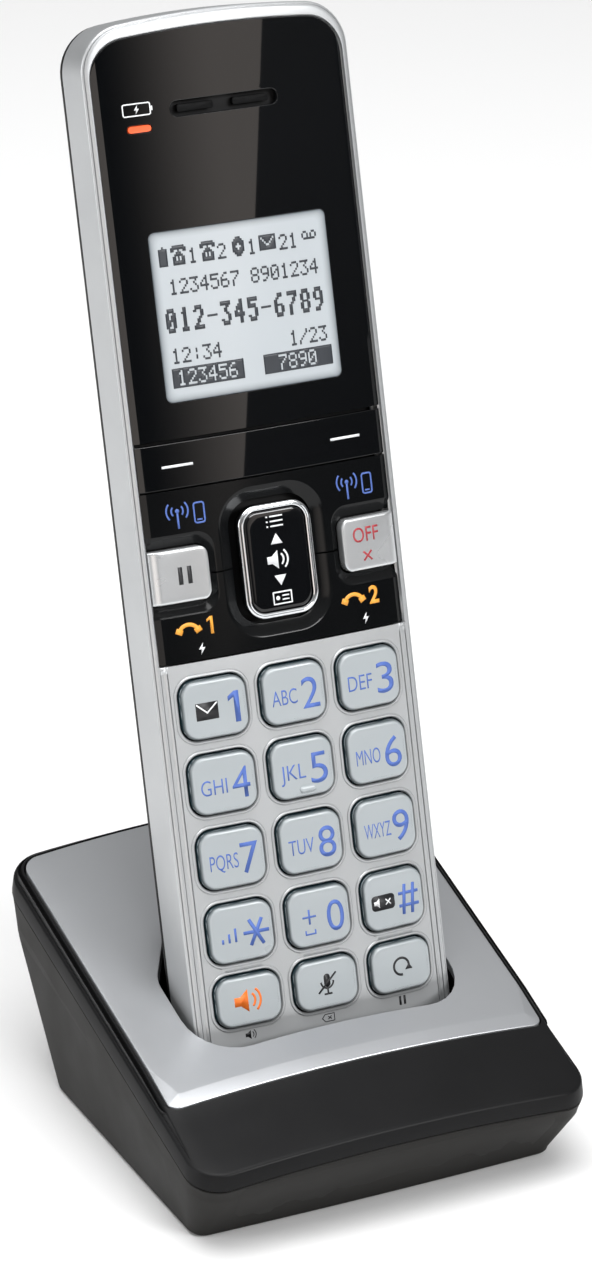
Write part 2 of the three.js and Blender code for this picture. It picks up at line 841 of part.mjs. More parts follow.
// Charge light: a pipe from the face to its foot behind the window panel
const pipeOutline = slotOutline(lightWidth, lightHeight, 0, -lightLeft, lightHeightAt);
const pipeFoot = slotOutline(lightWidth, lightHeight, lightPipeFlange, -lightLeft, lightHeightAt);
const lightPipe = loft([
  faceRing(pipeOutline, (x) => crownAt(x) + gap / 3),
  faceRing(pipeOutline, ceiling + gap),
  faceRing(pipeFoot, ceiling + gap),
  faceRing(pipeFoot, boardLevel - gap),
]);
add(handset, 'charge_light', lightPipe, 'amber');

// Earpiece mesh with its two sound openings, and the receiver behind it
function earpieceMesh() {
  const front = lensSeat;
  const half = earSlotWidth / 2;
  let mesh = facePrism(slotOutline(earSlotWidth, earSlotHeight, thinWall - gap, 0, receiverHeight), front,
    front + meshThickness);
  for (const side of [-1, 1]) {
    const opening = slotOutline(half / 2, earSlotHeight / 2, 0, side * half * 0.55, receiverHeight);
    mesh = mesh.subtract(facePrism(opening, -overrun, ceiling));
  }
  return mesh;
}
add(handset, 'earpiece_mesh', earpieceMesh(), 'rubber');

const receiverRadius = receiverDiameter / 2;
const receiver = laidBack(turned([
  [0, 0],
  [receiverRadius * 0.55, 0],
  [receiverRadius * 0.6, receiverThickness * 0.12],
  [receiverRadius, receiverThickness * 0.12],
  [receiverRadius, receiverThickness * 0.75],
  [receiverRadius * 0.8, receiverThickness],
  [0, receiverThickness],
]));
add(handset, 'earpiece_speaker', receiver.translate([0, ceiling + gap, receiverHeight]), 'steel');

// Main board with holes at its corners, and the rubber mat under the keys
function mainBoard() {
  const foot = boardFootMargin;
  const top = fromTop(boardTopDrop);
  const middle = (foot + top) / 2;
  let board = facePrism(moved(roundedRect(boardWidth, top - foot, wall), 0, middle), boardLevel,
    boardLevel + boardThickness);
  for (const x of [-1, 1]) {
    for (const z of [-1, 1]) {
      const hole = laidBack(post(screwShank, boardLevel - overrun, boardLevel + boardThickness + overrun));
      const across = x * (boardWidth / 2 - bossDiameter / 2);
      const up = middle + z * ((top - foot) / 2 - bossDiameter / 2);
      board = board.subtract(hole.translate([across, 0, up]));
    }
  }
  return board;
}
add(handset, 'main_board', mainBoard(), 'board');

const matFoot = matFootMargin;
const matHead = fromTop(matTopDrop);
const matOutline = moved(roundedRect(matWidth, matHead - matFoot, wall), 0, (matHead + matFoot) / 2);
add(handset, 'key_mat', facePrism(matOutline, matTop, matBack), 'rubber');

const microphone = laidBack(turned([
  [0, 0],
  [microphoneDiameter / 2, 0],
  [microphoneDiameter / 2, microphoneThickness * 0.7],
  [microphoneDiameter * 0.35, microphoneThickness],
  [0, microphoneThickness],
]));
add(handset, 'microphone', microphone.translate([0, deckThickness + gap, microphoneHeight]), 'rubber');

// Dialling keys, each with a flange that keeps it behind the deck
function keyCap(key) {
  const shoulder = (x) => crownAt(x) + deckThickness + gap;
  return loft([
    faceRing(keyOutline(key, keyFlange), flangeBack),
    faceRing(keyOutline(key, keyFlange), shoulder),
    faceRing(keyOutline(key, 0), shoulder),
    faceRing(keyOutline(key, 0), (x) => crownAt(x) - keyProud + keyBevelDepth),
    faceRing(keyOutline(key, -keyBevel), (x) => crownAt(x) - keyProud),
  ]);
}
for (const key of keys) {
  add(handset, key.name, keyCap(key), 'keycap');
}

// Hold and off keys, each a cap over a narrower stem, cut off along the face's edge with a facet there
function sideKey(side) {
  const capWidth = sideKeyWidth + 2 * sideKeyCorner;
  const cap = (grow) => {
    const outline = roundedRect(capWidth + 2 * grow, sideKeyHeight + 2 * grow, sideKeyCorner + grow);
    return moved(outline, side * (sideKeyOffset + sideKeyCorner), functionHeightAt);
  };
  const stemWidth = sideKeyWidth / 2;
  const stem = moved(roundedRect(stemWidth, sideKeyHeight - 2 * sideKeyCorner, sideKeyCorner / 2),
    side * (sideKeyOffset - sideKeyWidth / 2 + sideKeyCorner + stemWidth / 2), functionHeightAt);
  const key = loft([
    faceRing(stem, flangeBack),
    faceRing(stem, (u) => crownAt(u) + barThickness),
    faceRing(cap(0), (u) => crownAt(u) + barThickness),
    faceRing(cap(0), (u) => crownAt(u) - sideKeyProud + keyBevelDepth),
    faceRing(cap(-keyBevelDepth), (u) => crownAt(u) - sideKeyProud),
  ]);
  const edge = faceWidth / 2;
  const crease = edge - facetWidth;
  const far = edge + sideKeyWidth;
  const level = crownAt(crease) - sideKeyProud;
  const fall = (far - crease) * facetDepth / facetWidth;
  const facet = [[crease, -ceiling], [far, -ceiling], [far, level + fall], [crease, level]];
  const beyond = [[edge, -ceiling], [far, -ceiling], [far, ceiling], [edge, ceiling]];
  const cutter = (corners) => {
    const section = corners.map(([x, y]) => new THREE.Vector2(side * x, y));
    return loft([planRing(section, 0), planRing(section, handsetLength)]);
  };
  return key.subtract(cutter(facet)).subtract(cutter(beyond));
}
add(handset, 'hold_key', sideKey(-1), 'bright');
add(handset, 'off_key', sideKey(1), 'bright');

// Navigation key on its pivot, and the bright ring that it carries
function navOutline(grow) {
  return moved(roundedRect(navWidth + 2 * grow, navHeight + 2 * grow, navCorner + grow, bigCornerSteps), 0,
    functionHeightAt);
}
const navPivot = moved(roundedRect(navCorner, navCorner, thinWall, bigCornerSteps), 0, functionHeightAt);
const navInner = -navBand - gap;
add(handset, 'nav_key', loft([
  faceRing(navPivot, matTop - gap),
  faceRing(navPivot, navFlange + thinWall),
  faceRing(navOutline(0), navFlange + thinWall),
  faceRing(navOutline(0), navFlange),
  faceRing(navOutline(navInner), navFlange),
  faceRing(navOutline(navInner), keyBevelDepth - navProud * 0.8),
  faceRing(navOutline(navInner - keyBevelDepth), -navProud * 0.8),
]), 'gloss');
const ringOutside = loft([
  faceRing(navOutline(0), navFlange - gap),
  faceRing(navOutline(0), keyBevelDepth - navProud),
  faceRing(navOutline(-keyBevelDepth), -navProud),
]);
add(handset, 'nav_ring', ringOutside.subtract(facePrism(navOutline(-navBand), -overrun, ceiling)), 'bright');

// Key bars, each rocking on a rib behind its middle
function keyBar(foot, top, ribFoot, ribTop) {
  const rib = moved(roundedRect(pivotWidth, ribTop - ribFoot, barCorner), 0, (ribFoot + ribTop) / 2);
  return facePlate(foot, top, barThickness, false)
    .subtract(faceKeyCuts())
    .add(facePrism(rib, barThickness - gap, matTop - gap));
}
const ribMargin = 1.2;
const navReach = navHeight / 2 + navMoat;
const softBar = keyBar(softFoot, softTop, softFoot + ribMargin, softTop - ribMargin - thinWall);
add(handset, 'soft_key_bar', softBar, 'gloss');
const cellRib = functionHeightAt + navReach + ribMargin / 2;
add(handset, 'cell_key_bar', keyBar(cellFoot, cellTop, cellRib, cellTop - ribMargin / 2), 'gloss');
const lineRib = functionHeightAt - navReach - ribMargin / 2;
const lineRibFoot = faceFoot + thinWall + ribMargin / 2;
add(handset, 'line_key_bar', keyBar(lineFoot, lineTop, lineRibFoot, lineRib), 'gloss');

// Rear shell: its section narrows towards the back by the two tables of shares
function rearBody(thinner) {
  return loft(rearDepthShares.map((depthShare, k) => {
    const inset = rearInsetMost * rearInsetShares[k];
    const outline = handsetOutline(rearInset + inset + thinner, rearInset + inset * rearTopShare + thinner,
      rearInset + inset * rearFootShare + thinner, rearLevelShares.map((share) => share * handsetLength));
    const early = thinner > 0 && k === 0 ? overrun : 0;
    const front = (z) => partingAt(z) + gap - early;
    return faceRing(outline, (x, z) => THREE.MathUtils.lerp(front(z), backAt(z) - thinner, depthShare));
  }));
}
const rearSolid = rearBody(0);
const rearmost = handsetThickness + overrun;
const batteryHeight = cellLength + 2 * cellCap;
const cellOffset = cellDiameter / 2 - gap / 6;
const batteryBack = handsetThickness - doorThickness - gap;
const batteryFront = batteryBack - cellDiameter;
const speakerHeightAt = fromTop(speakerDrop);
const handsetScrewSeat = backAt(handsetScrewHeight) - 2 * screwHeadHeight;

// Prism over the back, starting at a depth below its surface
function nearBack(outline, depth) {
  return facePrism(outline, handsetThickness / 2, rearmost).subtract(rearSolid.translate([0, -depth, 0]));
}

function bayOutline(grow) {
  return moved(roundedRect(2 * cellOffset + cellDiameter + 2 * grow, batteryHeight + 2 * grow, thinWall), 0,
    batteryFoot + batteryHeight / 2);
}

function doorOutline(grow) {
  return moved(roundedRect(doorWidth + 2 * grow, doorTop - doorFoot + 2 * grow, doorCorner + grow), 0,
    (doorTop + doorFoot) / 2);
}

function rearShell() {
  // Room inside, less the panel under the door, the tray for the battery and the screw bosses
  const seat = doorThickness + gap;
  let room = rearBody(wall)
    .subtract(nearBack(doorOutline(gap + ledge), seat + wall))
    .subtract(facePrism(bayOutline(gap + thinWall), batteryFront - gap - thinWall, rearmost));
  for (const side of [-1, 1]) {
    const boss = laidBack(post(bossDiameter, handsetBossFoot + gap, rearmost));
    room = room.subtract(boss.translate([side * handsetScrewOffset, 0, handsetScrewHeight]));
  }
  let shell = rearSolid.subtract(room);
  // Recess for the door and room for the battery
  shell = shell.subtract(nearBack(doorOutline(gap), seat));
  shell = shell.subtract(facePrism(bayOutline(gap), batteryFront - gap, rearmost));
  // Slots in front of the loudspeaker
  for (let i = 0; i < grilleSlots; i += 1) {
    const offset = (i - (grilleSlots - 1) / 2) * grillePitch;
    const chord = 2 * Math.sqrt((grilleDiameter / 2) ** 2 - offset ** 2);
    const outline = roundedRect(chord, grilleSlotWidth, grilleSlotWidth * 0.45);
    const slot = moved(outline, 0, speakerHeightAt + offset);
    shell = shell.subtract(facePrism(slot, handsetThickness / 2, rearmost));
  }
  // Belt-clip notches, charge-pad slots and screw holes
  for (const side of [-1, 1]) {
    for (const share of notchDropShares) {
      const z = fromTop(share * handsetLength);
      const notch = block(2 * notchInset, notchDepth + overrun, notchHeight);
      const depth = partingAt(z) + (notchDepth - overrun) / 2;
      shell = shell.subtract(notch.translate([side * handsetWidth / 2, depth, z]));
    }
    const padSlot = block(padWidth + 2 * gap, padDepth + 2 * gap, 2 * (padLevel + padThickness));
    shell = shell.subtract(padSlot.translate([side * contactOffset, contactDepth, 0]));
    const bore = laidBack(post(screwShank + 2 * gap, 0, rearmost));
    const sink = laidBack(post(screwHead + 2 * gap, handsetScrewSeat - gap, rearmost));
    shell = shell.subtract(bore.add(sink).translate([side * handsetScrewOffset, 0, handsetScrewHeight]));
  }
  return shell;
}

// Screws: a round head over its shank
function screw(length) {
  const half = screwShank / 2;
  const head = screwHead / 2;
  return turned([
    [0, -length],
    [half, -length + screwShank],
    [half, 0],
    [head, 0],
    [head * 0.8, screwHeadHeight],
    [0, screwHeadHeight],
  ]);
}
add(handset, 'rear_shell', rearShell(), 'black');
for (const [name, side] of [['handset_screw_left', -1], ['handset_screw_right', 1]]) {
  add(handset, name, laidBack(screw(handsetScrewLength))
    .translate([side * handsetScrewOffset, handsetScrewSeat, handsetScrewHeight]), 'steel');
}

// Loudspeaker behind the grille
const speakerRadius = speakerDiameter / 2;
const speakerBack = backAt(speakerHeightAt + speakerRadius) - wall - gap;
const loudspeaker = laidBack(turned([
  [0, -speakerThickness],
  [speakerRadius * 0.5, -speakerThickness],
  [speakerRadius * 0.55, -speakerThickness * 0.4],
  [speakerRadius * 0.9, -speakerThickness * 0.25],
  [speakerRadius, -speakerThickness * 0.2],
  [speakerRadius, 0],
  [speakerRadius * 0.9, 0],
  [speakerRadius * 0.4, -speakerThickness * 0.2],
  [0, -speakerThickness * 0.1],
]));
add(handset, 'loudspeaker', loudspeaker.translate([0, speakerBack, speakerHeightAt]), 'rubber');

// Battery pack of two cells, and its door, bevelled at the foot where it tips open
const cellAxis = (batteryFront + batteryBack) / 2;
let battery = block(2 * cellOffset, cellWeb, batteryHeight);
for (const side of [-1, 1]) {
  const radius = cellDiameter / 2;
  battery = battery.add(turned([
    [0, -batteryHeight / 2],
    [radius * 0.8, -batteryHeight / 2],
    [radius, cellCap - batteryHeight / 2],
    [radius, batteryHeight / 2 - cellCap],
    [radius * 0.8, batteryHeight / 2],
    [0, batteryHeight / 2],
  ]).translate([side * cellOffset, 0, 0]));
}
add(handset, 'battery_pack', battery.translate([0, cellAxis, batteryFoot + batteryHeight / 2]), 'wrap');

function batteryDoor() {
  let door = nearBack(doorOutline(0), doorThickness).intersect(rearSolid);
  const bevel = block(doorWidth + 2 * overrun, 2 * doorThickness, 2 * doorThickness).rotate([-45, 0, 0]);
  const reach = doorThickness * Math.SQRT2;
  door = door.subtract(bevel.translate([0, handsetThickness - doorThickness + reach, doorFoot]));
  for (let i = 0; i < gripCount; i += 1) {
    const z = doorTop - gripDrop - i * gripPitch;
    const groove = moved(roundedRect(gripWidth, gripGroove, gripGroove * 0.4), 0, z);
    door = door.subtract(facePrism(groove, backAt(z) - gripDepth, rearmost));
  }
  return door;
}
add(handset, 'battery_door', batteryDoor(), 'black');

// Charge pads in the foot, and the sprung pins under them in the well
for (const [name, side] of [['charge_pad_left', -1], ['charge_pad_right', 1]]) {
  add(handset, name, block(padWidth, padDepth, padThickness)
    .translate([side * contactOffset, contactDepth, padLevel + padThickness / 2]), 'contact');
}
const wellFloor = -gap;
const pinTop = padLevel - gap;
const pinSeat = wellFloor - wall - gap;
const pinProfile = [
  [0, pinSeat - pinFlange - pinTail],
  [pinDiameter * 0.35, pinSeat - pinFlange - pinTail],
  [pinDiameter * 0.35, pinSeat - pinFlange],
  [pinFlangeDiameter / 2, pinSeat - pinFlange],
  [pinFlangeDiameter / 2, pinSeat],
  [pinDiameter / 2, pinSeat],
  [pinDiameter / 2, pinTop - pinDiameter * 0.4],
  [pinDiameter * 0.3, pinTop],
  [0, pinTop],
];
for (const [name, side] of [['charge_pin_left', -1], ['charge_pin_right', 1]]) {
  const pin = turned(pinProfile).translate([side * contactOffset, contactDepth, 0]);
  add(cradle, name, toCradle(pin), 'contact');
}

// Cradle cover with its ridge line, sloped deck, plate recess and handset well
const plateSeat = plateThickness - plateProud + gap;
const shoulderInset = -gap - plateRim;
const cradleScrews = [
  ['front_left', -cradleScrewFrontX, cradleScrewFrontY],
  ['front_right', cradleScrewFrontX, cradleScrewFrontY],
  ['rear_left', -cradleScrewRearX, cradleScrewRearY],
  ['rear_right', cradleScrewRearX, cradleScrewRearY],
];
const cradleHeight = deckHeight(0, cradleRear) + overrun;
const underside = footProud;
const cradleScrewHead = underside + screwHeadHeight + gap;

function cradleCover() {
  const ridge = (x, y) => partingHeight(x, y) + bandHeight;
  const outer = loft([
    planRing(coverPlan(0), partingHeight),
    planRing(coverPlan(bandInset), ridge),
    planRing(platePlan(shoulderInset), (x, y) => deckHeight(x, y) - gap / 6),
    planRing(platePlan(shoulderInset), (x, y) => deckHeight(x, y) + overrun),
  ]).intersect(underDeck(0));
  const inner = loft([
    planRing(coverPlan(wall), (x, y) => partingHeight(x, y) - overrun),
    planRing(coverPlan(wall), (x, y) => ridge(x, y) - wall / 2),
    planRing(platePlan(shoulderInset + 1.1 * wall), (x, y) => deckHeight(x, y) - plateSeat - wall),
    planRing(platePlan(shoulderInset + 1.1 * wall), (x, y) => deckHeight(x, y) + overrun),
  ]).intersect(underDeck(-plateSeat - wall));
  const recess = loft([
    planRing(platePlan(-gap), -overrun),
    planRing(platePlan(-gap), cradleHeight + overrun),
  ]).subtract(underDeck(-plateSeat));
  let cover = outer.subtract(inner).subtract(recess);
  cover = cover.add(wellPrism(wall, wellFloor - wall, handsetLength).intersect(underDeck(-plateSeat)));
  for (const [, x, y] of cradleScrews) {
    cover = cover.add(post(bossDiameter, cradleBossSplit + gap, cradleHeight).translate([x, y, 0])
      .intersect(underDeck(-plateSeat - wall / 2)));
    const bore = post(screwShank + 2 * gap, 0, cradleScrewHead + cradleScrewLength + gap);
    cover = cover.subtract(bore.translate([x, y, 0]));
  }
  cover = cover.subtract(wellPrism(0, wellFloor, handsetLength));
  for (const side of [-1, 1]) {
    const bore = post(pinDiameter + 2 * gap, -toeLength, overrun);
    cover = cover.subtract(toCradle(bore.translate([side * contactOffset, contactDepth, 0])));
  }
  return cover;
}
add(cradle, 'cradle_cover', cradleCover(), 'black');

// Silver plate on the deck, cut by the well, with a bevel all round
function cradlePlate() {
  const edge = (x, y) => deckHeight(x, y) + plateProud;
  const body = loft([
    planRing(platePlan(0), -overrun),
    planRing(platePlan(0), (x, y) => edge(x, y) - plateBevelDepth),
    planRing(platePlan(2 * plateBevel), (x, y) => edge(x, y) + plateBevelDepth),
  ]);
  return body.intersect(underDeck(plateProud)).subtract(underDeck(plateProud - plateThickness))
    .subtract(wellPrism(0, wellFloor, handsetLength));
}
add(cradle, 'cradle_plate', cradlePlate(), 'silver');

// Tub: tapers from the parting line to its small foot, with bosses, posts and the inlet opening
const boardTop = cradleBoardHeight + boardThickness;
const inletFoot = boardTop + gap;
const inletAxis = inletFoot + inletHeight / 2;
const feet = [
  ['front_left', -footX, footFrontY],
  ['front_right', footX, footFrontY],
  ['rear_left', -footX, footRearY],
  ['rear_right', footX, footRearY],
];

function cradleBase() {
  const rim = (x, y) => partingHeight(x, y) - partingGap;
  const shoulder = (x, y) => THREE.MathUtils.lerp(rim(x, y), underside, tubShoulderShare);
  const outer = loft([
    planRing(coverPlan(tubInset), rim),
    planRing(blended(coverPlan(tubInset), tubPlan(0), tubShoulderInsetShare), shoulder),
    planRing(tubPlan(0), underside + tubEdge),
    planRing(tubPlan(tubEdge), underside),
  ]);
  const floor = underside + floorThickness;
  const inner = loft([
    planRing(coverPlan(tubInset + wall), (x, y) => rim(x, y) + overrun),
    planRing(coverPlan(tubInset + wall), rim),
    planRing(blended(coverPlan(tubInset + wall), tubPlan(wall), tubShoulderInsetShare), shoulder),
    planRing(tubPlan(wall), floor),
  ]);
  let base = outer.subtract(inner);
  for (const [, x, y] of cradleScrews) {
    base = base.add(post(bossDiameter, underside + tubEdge, cradleBossSplit).translate([x, y, 0]));
    const bore = post(screwShank + 2 * gap, -overrun, cradleBossSplit + overrun);
    const sink = post(screwHead + 2 * gap, -overrun, cradleScrewHead + gap);
    base = base.subtract(bore.add(sink).translate([x, y, 0]));
  }
  for (const x of [-1, 1]) {
    for (const y of [cradleBoardFront + postDiameter, cradleBoardRear - postDiameter]) {
      const place = [x * (cradleBoardWidth / 2 - postDiameter / 2), y, 0];
      base = base.add(post(postDiameter, floor - gap, cradleBoardHeight - gap).translate(place));
    }
  }
  for (const [, x, y] of feet) {
    base = base.subtract(post(footDiameter + 2 * gap, -overrun, footThickness + gap).translate([x, y, 0]));
  }
  const opening = block(inletWidth + 2 * gap, cradleRear - inletFront, inletHeight + 2 * gap);
  return base.subtract(opening.translate([0, (cradleRear + inletFront) / 2 + overrun, inletAxis]));
}
add(cradle, 'cradle_base', cradleBase(), 'tub');

for (const [place, x, y] of feet) {
  const radius = footDiameter / 2;
  const foot = turned([
    [0, 0],
    [radius - gap, 0],
    [radius, gap],
    [radius, footThickness],
    [0, footThickness],
  ]);
  add(cradle, `foot_${place}`, foot.translate([x, y, 0]), 'rubber');
}
for (const [place, x, y] of cradleScrews) {
  const upright = screw(cradleScrewLength).rotate([180, 0, 0]);
  add(cradle, `cradle_screw_${place}`, upright.translate([x, y, cradleScrewHead]), 'steel');
}

// Cradle board on its posts, and the power inlet at its rear edge
const cradleBoardDepth = cradleBoardRear - cradleBoardFront;
const cradleBoardMiddle = (cradleBoardFront + cradleBoardRear) / 2;
const cradleBoardOutline = moved(roundedRect(cradleBoardWidth, cradleBoardDepth, wall), 0, cradleBoardMiddle);
add(cradle, 'cradle_board', loft([
  planRing(cradleBoardOutline, cradleBoardHeight),
  planRing(cradleBoardOutline, boardTop),
]), 'board');

function powerInlet() {
  const body = block(inletWidth, inletRear - inletFront, inletHeight)
    .translate([0, (inletRear + inletFront) / 2, inletAxis]);
  const bore = laidBack(post(inletBore, inletRear - inletBoreDepth, inletRear + overrun));
  const pin = laidBack(turned([
    [0, inletRear - inletBoreDepth - gap],
    [inletPin / 2, inletRear - inletBoreDepth - gap],
    [inletPin / 2, inletRear - inletPin],
    [inletPin / 4, inletRear - inletPin / 2],
    [0, inletRear - inletPin / 2],
  ]));
  return body.subtract(bore.translate([0, 0, inletAxis])).add(pin.translate([0, 0, inletAxis]));
}
add(cradle, 'power_inlet', powerInlet(), 'rubber');

// The origin moves under the middle of the whole object, on the floor
const box = new THREE.Box3().setFromObject(scene, true);
scene.position.set(-(box.min.x + box.max.x) / 2, -(box.min.y + box.max.y) / 2, -box.min.z);
scene.updateMatrixWorld(true);

export default scene;
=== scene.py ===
"""Cordless handset standing in its charging cradle: the looks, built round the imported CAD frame."""

import logging
import math
from collections.abc import Callable, Sequence
from dataclasses import dataclass
from enum import Enum

import bmesh
import bpy
import numpy as np
from mathutils import Matrix, Vector


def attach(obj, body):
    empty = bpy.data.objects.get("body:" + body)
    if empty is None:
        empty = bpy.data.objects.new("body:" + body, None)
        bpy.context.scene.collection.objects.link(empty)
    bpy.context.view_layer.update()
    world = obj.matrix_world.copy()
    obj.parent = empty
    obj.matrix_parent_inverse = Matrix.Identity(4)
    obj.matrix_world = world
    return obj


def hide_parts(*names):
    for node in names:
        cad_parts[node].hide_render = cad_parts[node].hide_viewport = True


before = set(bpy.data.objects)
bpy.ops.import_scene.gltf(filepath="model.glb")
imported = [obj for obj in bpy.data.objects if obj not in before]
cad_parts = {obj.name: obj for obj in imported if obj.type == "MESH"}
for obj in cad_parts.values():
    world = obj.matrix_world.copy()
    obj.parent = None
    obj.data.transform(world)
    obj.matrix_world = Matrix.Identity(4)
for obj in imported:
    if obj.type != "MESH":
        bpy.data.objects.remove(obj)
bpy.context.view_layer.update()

log = logging.getLogger("handset")
logging.basicConfig(level=logging.INFO, format="%(name)s: %(message)s")

MM = 0.001
Depth = Callable[[np.ndarray, np.ndarray], np.ndarray]
Points = Sequence[Sequence[float]] | np.ndarray
Steps = tuple[tuple[float, float], ...]


# ---------------------------------------------------------------- colours and materials


def linear(code: str) -> tuple[float, float, float, float]:
    """Turns an sRGB hex colour to a linear one.

    Args:
        code: The colour as six hex digits after a hash.

    Returns:
        Red, green, blue and an alpha of one.
    """
    share = np.array([int(code[i:i + 2], 16) / 255 for i in (1, 3, 5)])
    value = np.where(share <= 0.04045, share / 12.92, ((share + 0.055) / 1.055) ** 2.4)
    return (*value.tolist(), 1.0)


def wire(tree: bpy.types.NodeTree, node: bpy.types.Node, values: dict | None = None,
         links: dict | None = None) -> bpy.types.Node:
    """Sets input sockets of a node.

    Args:
        tree: The node's tree.
        node: The node.
        values: Sockets, by name or number, and the value of each.
        links: Sockets, by name or number, and the output that feeds each.

    Returns:
        The node.
    """
    for key, value in (values or {}).items():
        node.inputs[key].default_value = value
    for key, source in (links or {}).items():
        tree.links.new(source, node.inputs[key])
    return node


def add_node(tree: bpy.types.NodeTree, kind: str, values: dict | None = None, links: dict | None = None,
             **fields: object) -> bpy.types.Node:
    """Adds a node of a kind, with its other fields set, then its inputs as wire does.

    Args:
        tree: The node tree.
        kind: The node's type name.
        values: Input sockets and their values.
        links: Input sockets and the outputs that feed them.
        fields: Other fields of the node.

    Returns:
        The new node.
    """
    node = tree.nodes.new(kind)
    for key, value in fields.items():
        setattr(node, key, value)
    return wire(tree, node, values, links)


@dataclass(frozen=True)
class Finish:
    """A surface of one real material, with its colour, its gloss, its cloudiness and its grain.

    The colour drifts between two close shades over cloud_mm, the roughness drifts with it by rough_span,
    and a fine grain of grain_mm wide and grain_depth_mm deep is laid over the surface. Where the piece's
    "edge" attribute falls to zero, the colour turns to edge_colour.
    """

    name: str
    colour: str
    shade: str
    metallic: float = 0.0
    roughness: float = 0.5
    rough_span: float = 0.04
    ior: float = 1.5
    coat: float = 0.0
    cloud_mm: float = 12.0
    grain_mm: float = 0.5
    grain_depth_mm: float = 0.004
    glow: float = 0.0
    specular: float = 0.5
    edge_colour: str = ""
    noise_span: tuple[float, float] = (0.3, 0.7)
    least_roughness: float = 0.02
    coat_roughness: float = 0.05
    bare_metal: float = 0.9

    def build(self) -> bpy.types.Material:
        """Makes the Blender material, or returns it if it is there already.

        Returns:
            The material.
        """
        known = bpy.data.materials.get(self.name)
        if known:
            return known
        material = bpy.data.materials.new(self.name)
        material.use_nodes = True
        tree = material.node_tree
        place = add_node(tree, "ShaderNodeTexCoord").outputs["Object"]
        cloud = add_node(tree, "ShaderNodeTexNoise", {"Scale": 1 / (self.cloud_mm * MM), "Detail": 3.0},
                         {"Vector": place}).outputs["Fac"]
        colour = add_node(tree, "ShaderNodeMix", {6: linear(self.colour), 7: linear(self.shade)}, {0: cloud},
                          data_type="RGBA").outputs[2]
        if self.edge_colour:
            rim = add_node(tree, "ShaderNodeAttribute", attribute_name="edge").outputs["Fac"]
            colour = add_node(tree, "ShaderNodeMix", {6: linear(self.edge_colour)}, {0: rim, 7: colour},
                              data_type="RGBA").outputs[2]
        gloss = add_node(tree, "ShaderNodeMapRange", {
            "From Min": self.noise_span[0], "From Max": self.noise_span[1],
            "To Min": max(self.roughness - self.rough_span, self.least_roughness),
            "To Max": self.roughness + self.rough_span}, {"Value": cloud})
        values = {"Metallic": self.metallic, "Specular IOR Level": self.specular}
        feeds = {"Base Color": colour, "Roughness": gloss.outputs["Result"]}
        if self.grain_depth_mm > 0:
            grain = add_node(tree, "ShaderNodeTexNoise", {"Scale": 1 / (self.grain_mm * MM), "Detail": 2.0},
                             {"Vector": place}).outputs["Fac"]
            feeds["Normal"] = add_node(tree, "ShaderNodeBump",
                                       {"Strength": 1.0, "Distance": self.grain_depth_mm * MM},
                                       {"Height": grain}).outputs["Normal"]
        if self.metallic < self.bare_metal:
            values["IOR"] = self.ior
        if self.coat > 0:
            values |= {"Coat Weight": self.coat, "Coat Roughness": self.coat_roughness}
        if self.glow > 0:
            values["Emission Strength"] = self.glow
            feeds["Emission Color"] = colour
        wire(tree, tree.nodes["Principled BSDF"], values, feeds)
        return material


# Silver-painted ABS, sprayed and satin: fine metal flakes under a thin matt lacquer
SILVER_PAINT = Finish("silver_painted_abs", "#b9bbbc", "#b1b3b5", 0.55, 0.36, 0.03, grain_mm=0.22,
                      grain_depth_mm=0.0035)
# The same paint on the cradle's plate, brushed a little smoother by its flat form; its colour is a darker copy of
# the silver, as painted shade
SHADED_PLATE_PAINT = Finish("silver_plate_painted_shade", "#abadb0", "#a5a7aa", 0.6, 0.33, 0.03, grain_mm=0.25,
                     grain_depth_mm=0.004)
# Piano-black PMMA, moulded against a polished steel face
PIANO_BLACK = Finish("piano_black_pmma", "#08090a", "#0c0d0f", 0.0, 0.02, 0.0, 1.49, cloud_mm=30,
                     grain_depth_mm=0.0)
# Black-lacquered ABS of the key bars, whose gloss is a little softer than the lens's
BAR_BLACK = Finish("black_lacquered_abs", "#090a0b", "#0d0e0f", 0.0, 0.13, 0.01, 1.49, cloud_mm=30,
                   grain_depth_mm=0.0, specular=0.24)
# Black ABS, moulded with a fine spark-eroded texture
BLACK_ABS = Finish("black_abs_satin", "#0f0f10", "#131314", 0.0, 0.42, 0.04, grain_mm=0.35, grain_depth_mm=0.008,
                   specular=0.16)
# The tub's ABS has a coarser texture that reads as matt
TUB_ABS = Finish("black_abs_textured", "#1b1a19", "#21201e", 0.0, 0.6, 0.05, grain_mm=0.45, grain_depth_mm=0.012,
                 specular=0.2)
# Clear polycarbonate key, printed from behind with a pale lacquer
KEY_TOP = Finish("key_lacquer_pale", "#a9afb2", "#a3a9ac", 0.1, 0.3, 0.03, 1.55, 0.25, grain_mm=0.3,
                 grain_depth_mm=0.001, edge_colour="#1a2b31")
# The key's uncoated side: smoky polycarbonate
KEY_SIDE = Finish("key_polycarbonate_smoky", "#2c434b", "#24383f", 0.0, 0.18, 0.03, 1.58, 0.3,
                  grain_depth_mm=0.0)
# Bright lacquer over ABS, as on the keys beside the navigation key
BRIGHT_LACQUER = Finish("bright_lacquered_abs", "#d0d2d3", "#c3c5c7", 0.7, 0.26, 0.03, grain_mm=0.2,
                        grain_depth_mm=0.002)
# Chromed ABS ring
CHROME = Finish("chromed_abs", "#dfe1e3", "#d2d5d8", 1.0, 0.14, 0.02, grain_depth_mm=0.0)
# Reflective LCD behind its glass; its edge colour darkens the border as a painted shadow of the bezel, and its
# faint glow is painted brightness
LCD_GLASS = Finish("lcd_glass", "#b5babe", "#b0b6ba", 0.0, 0.12, 0.02, 1.52, cloud_mm=40, grain_depth_mm=0.0,
                   glow=0.03, edge_colour="#60666b")
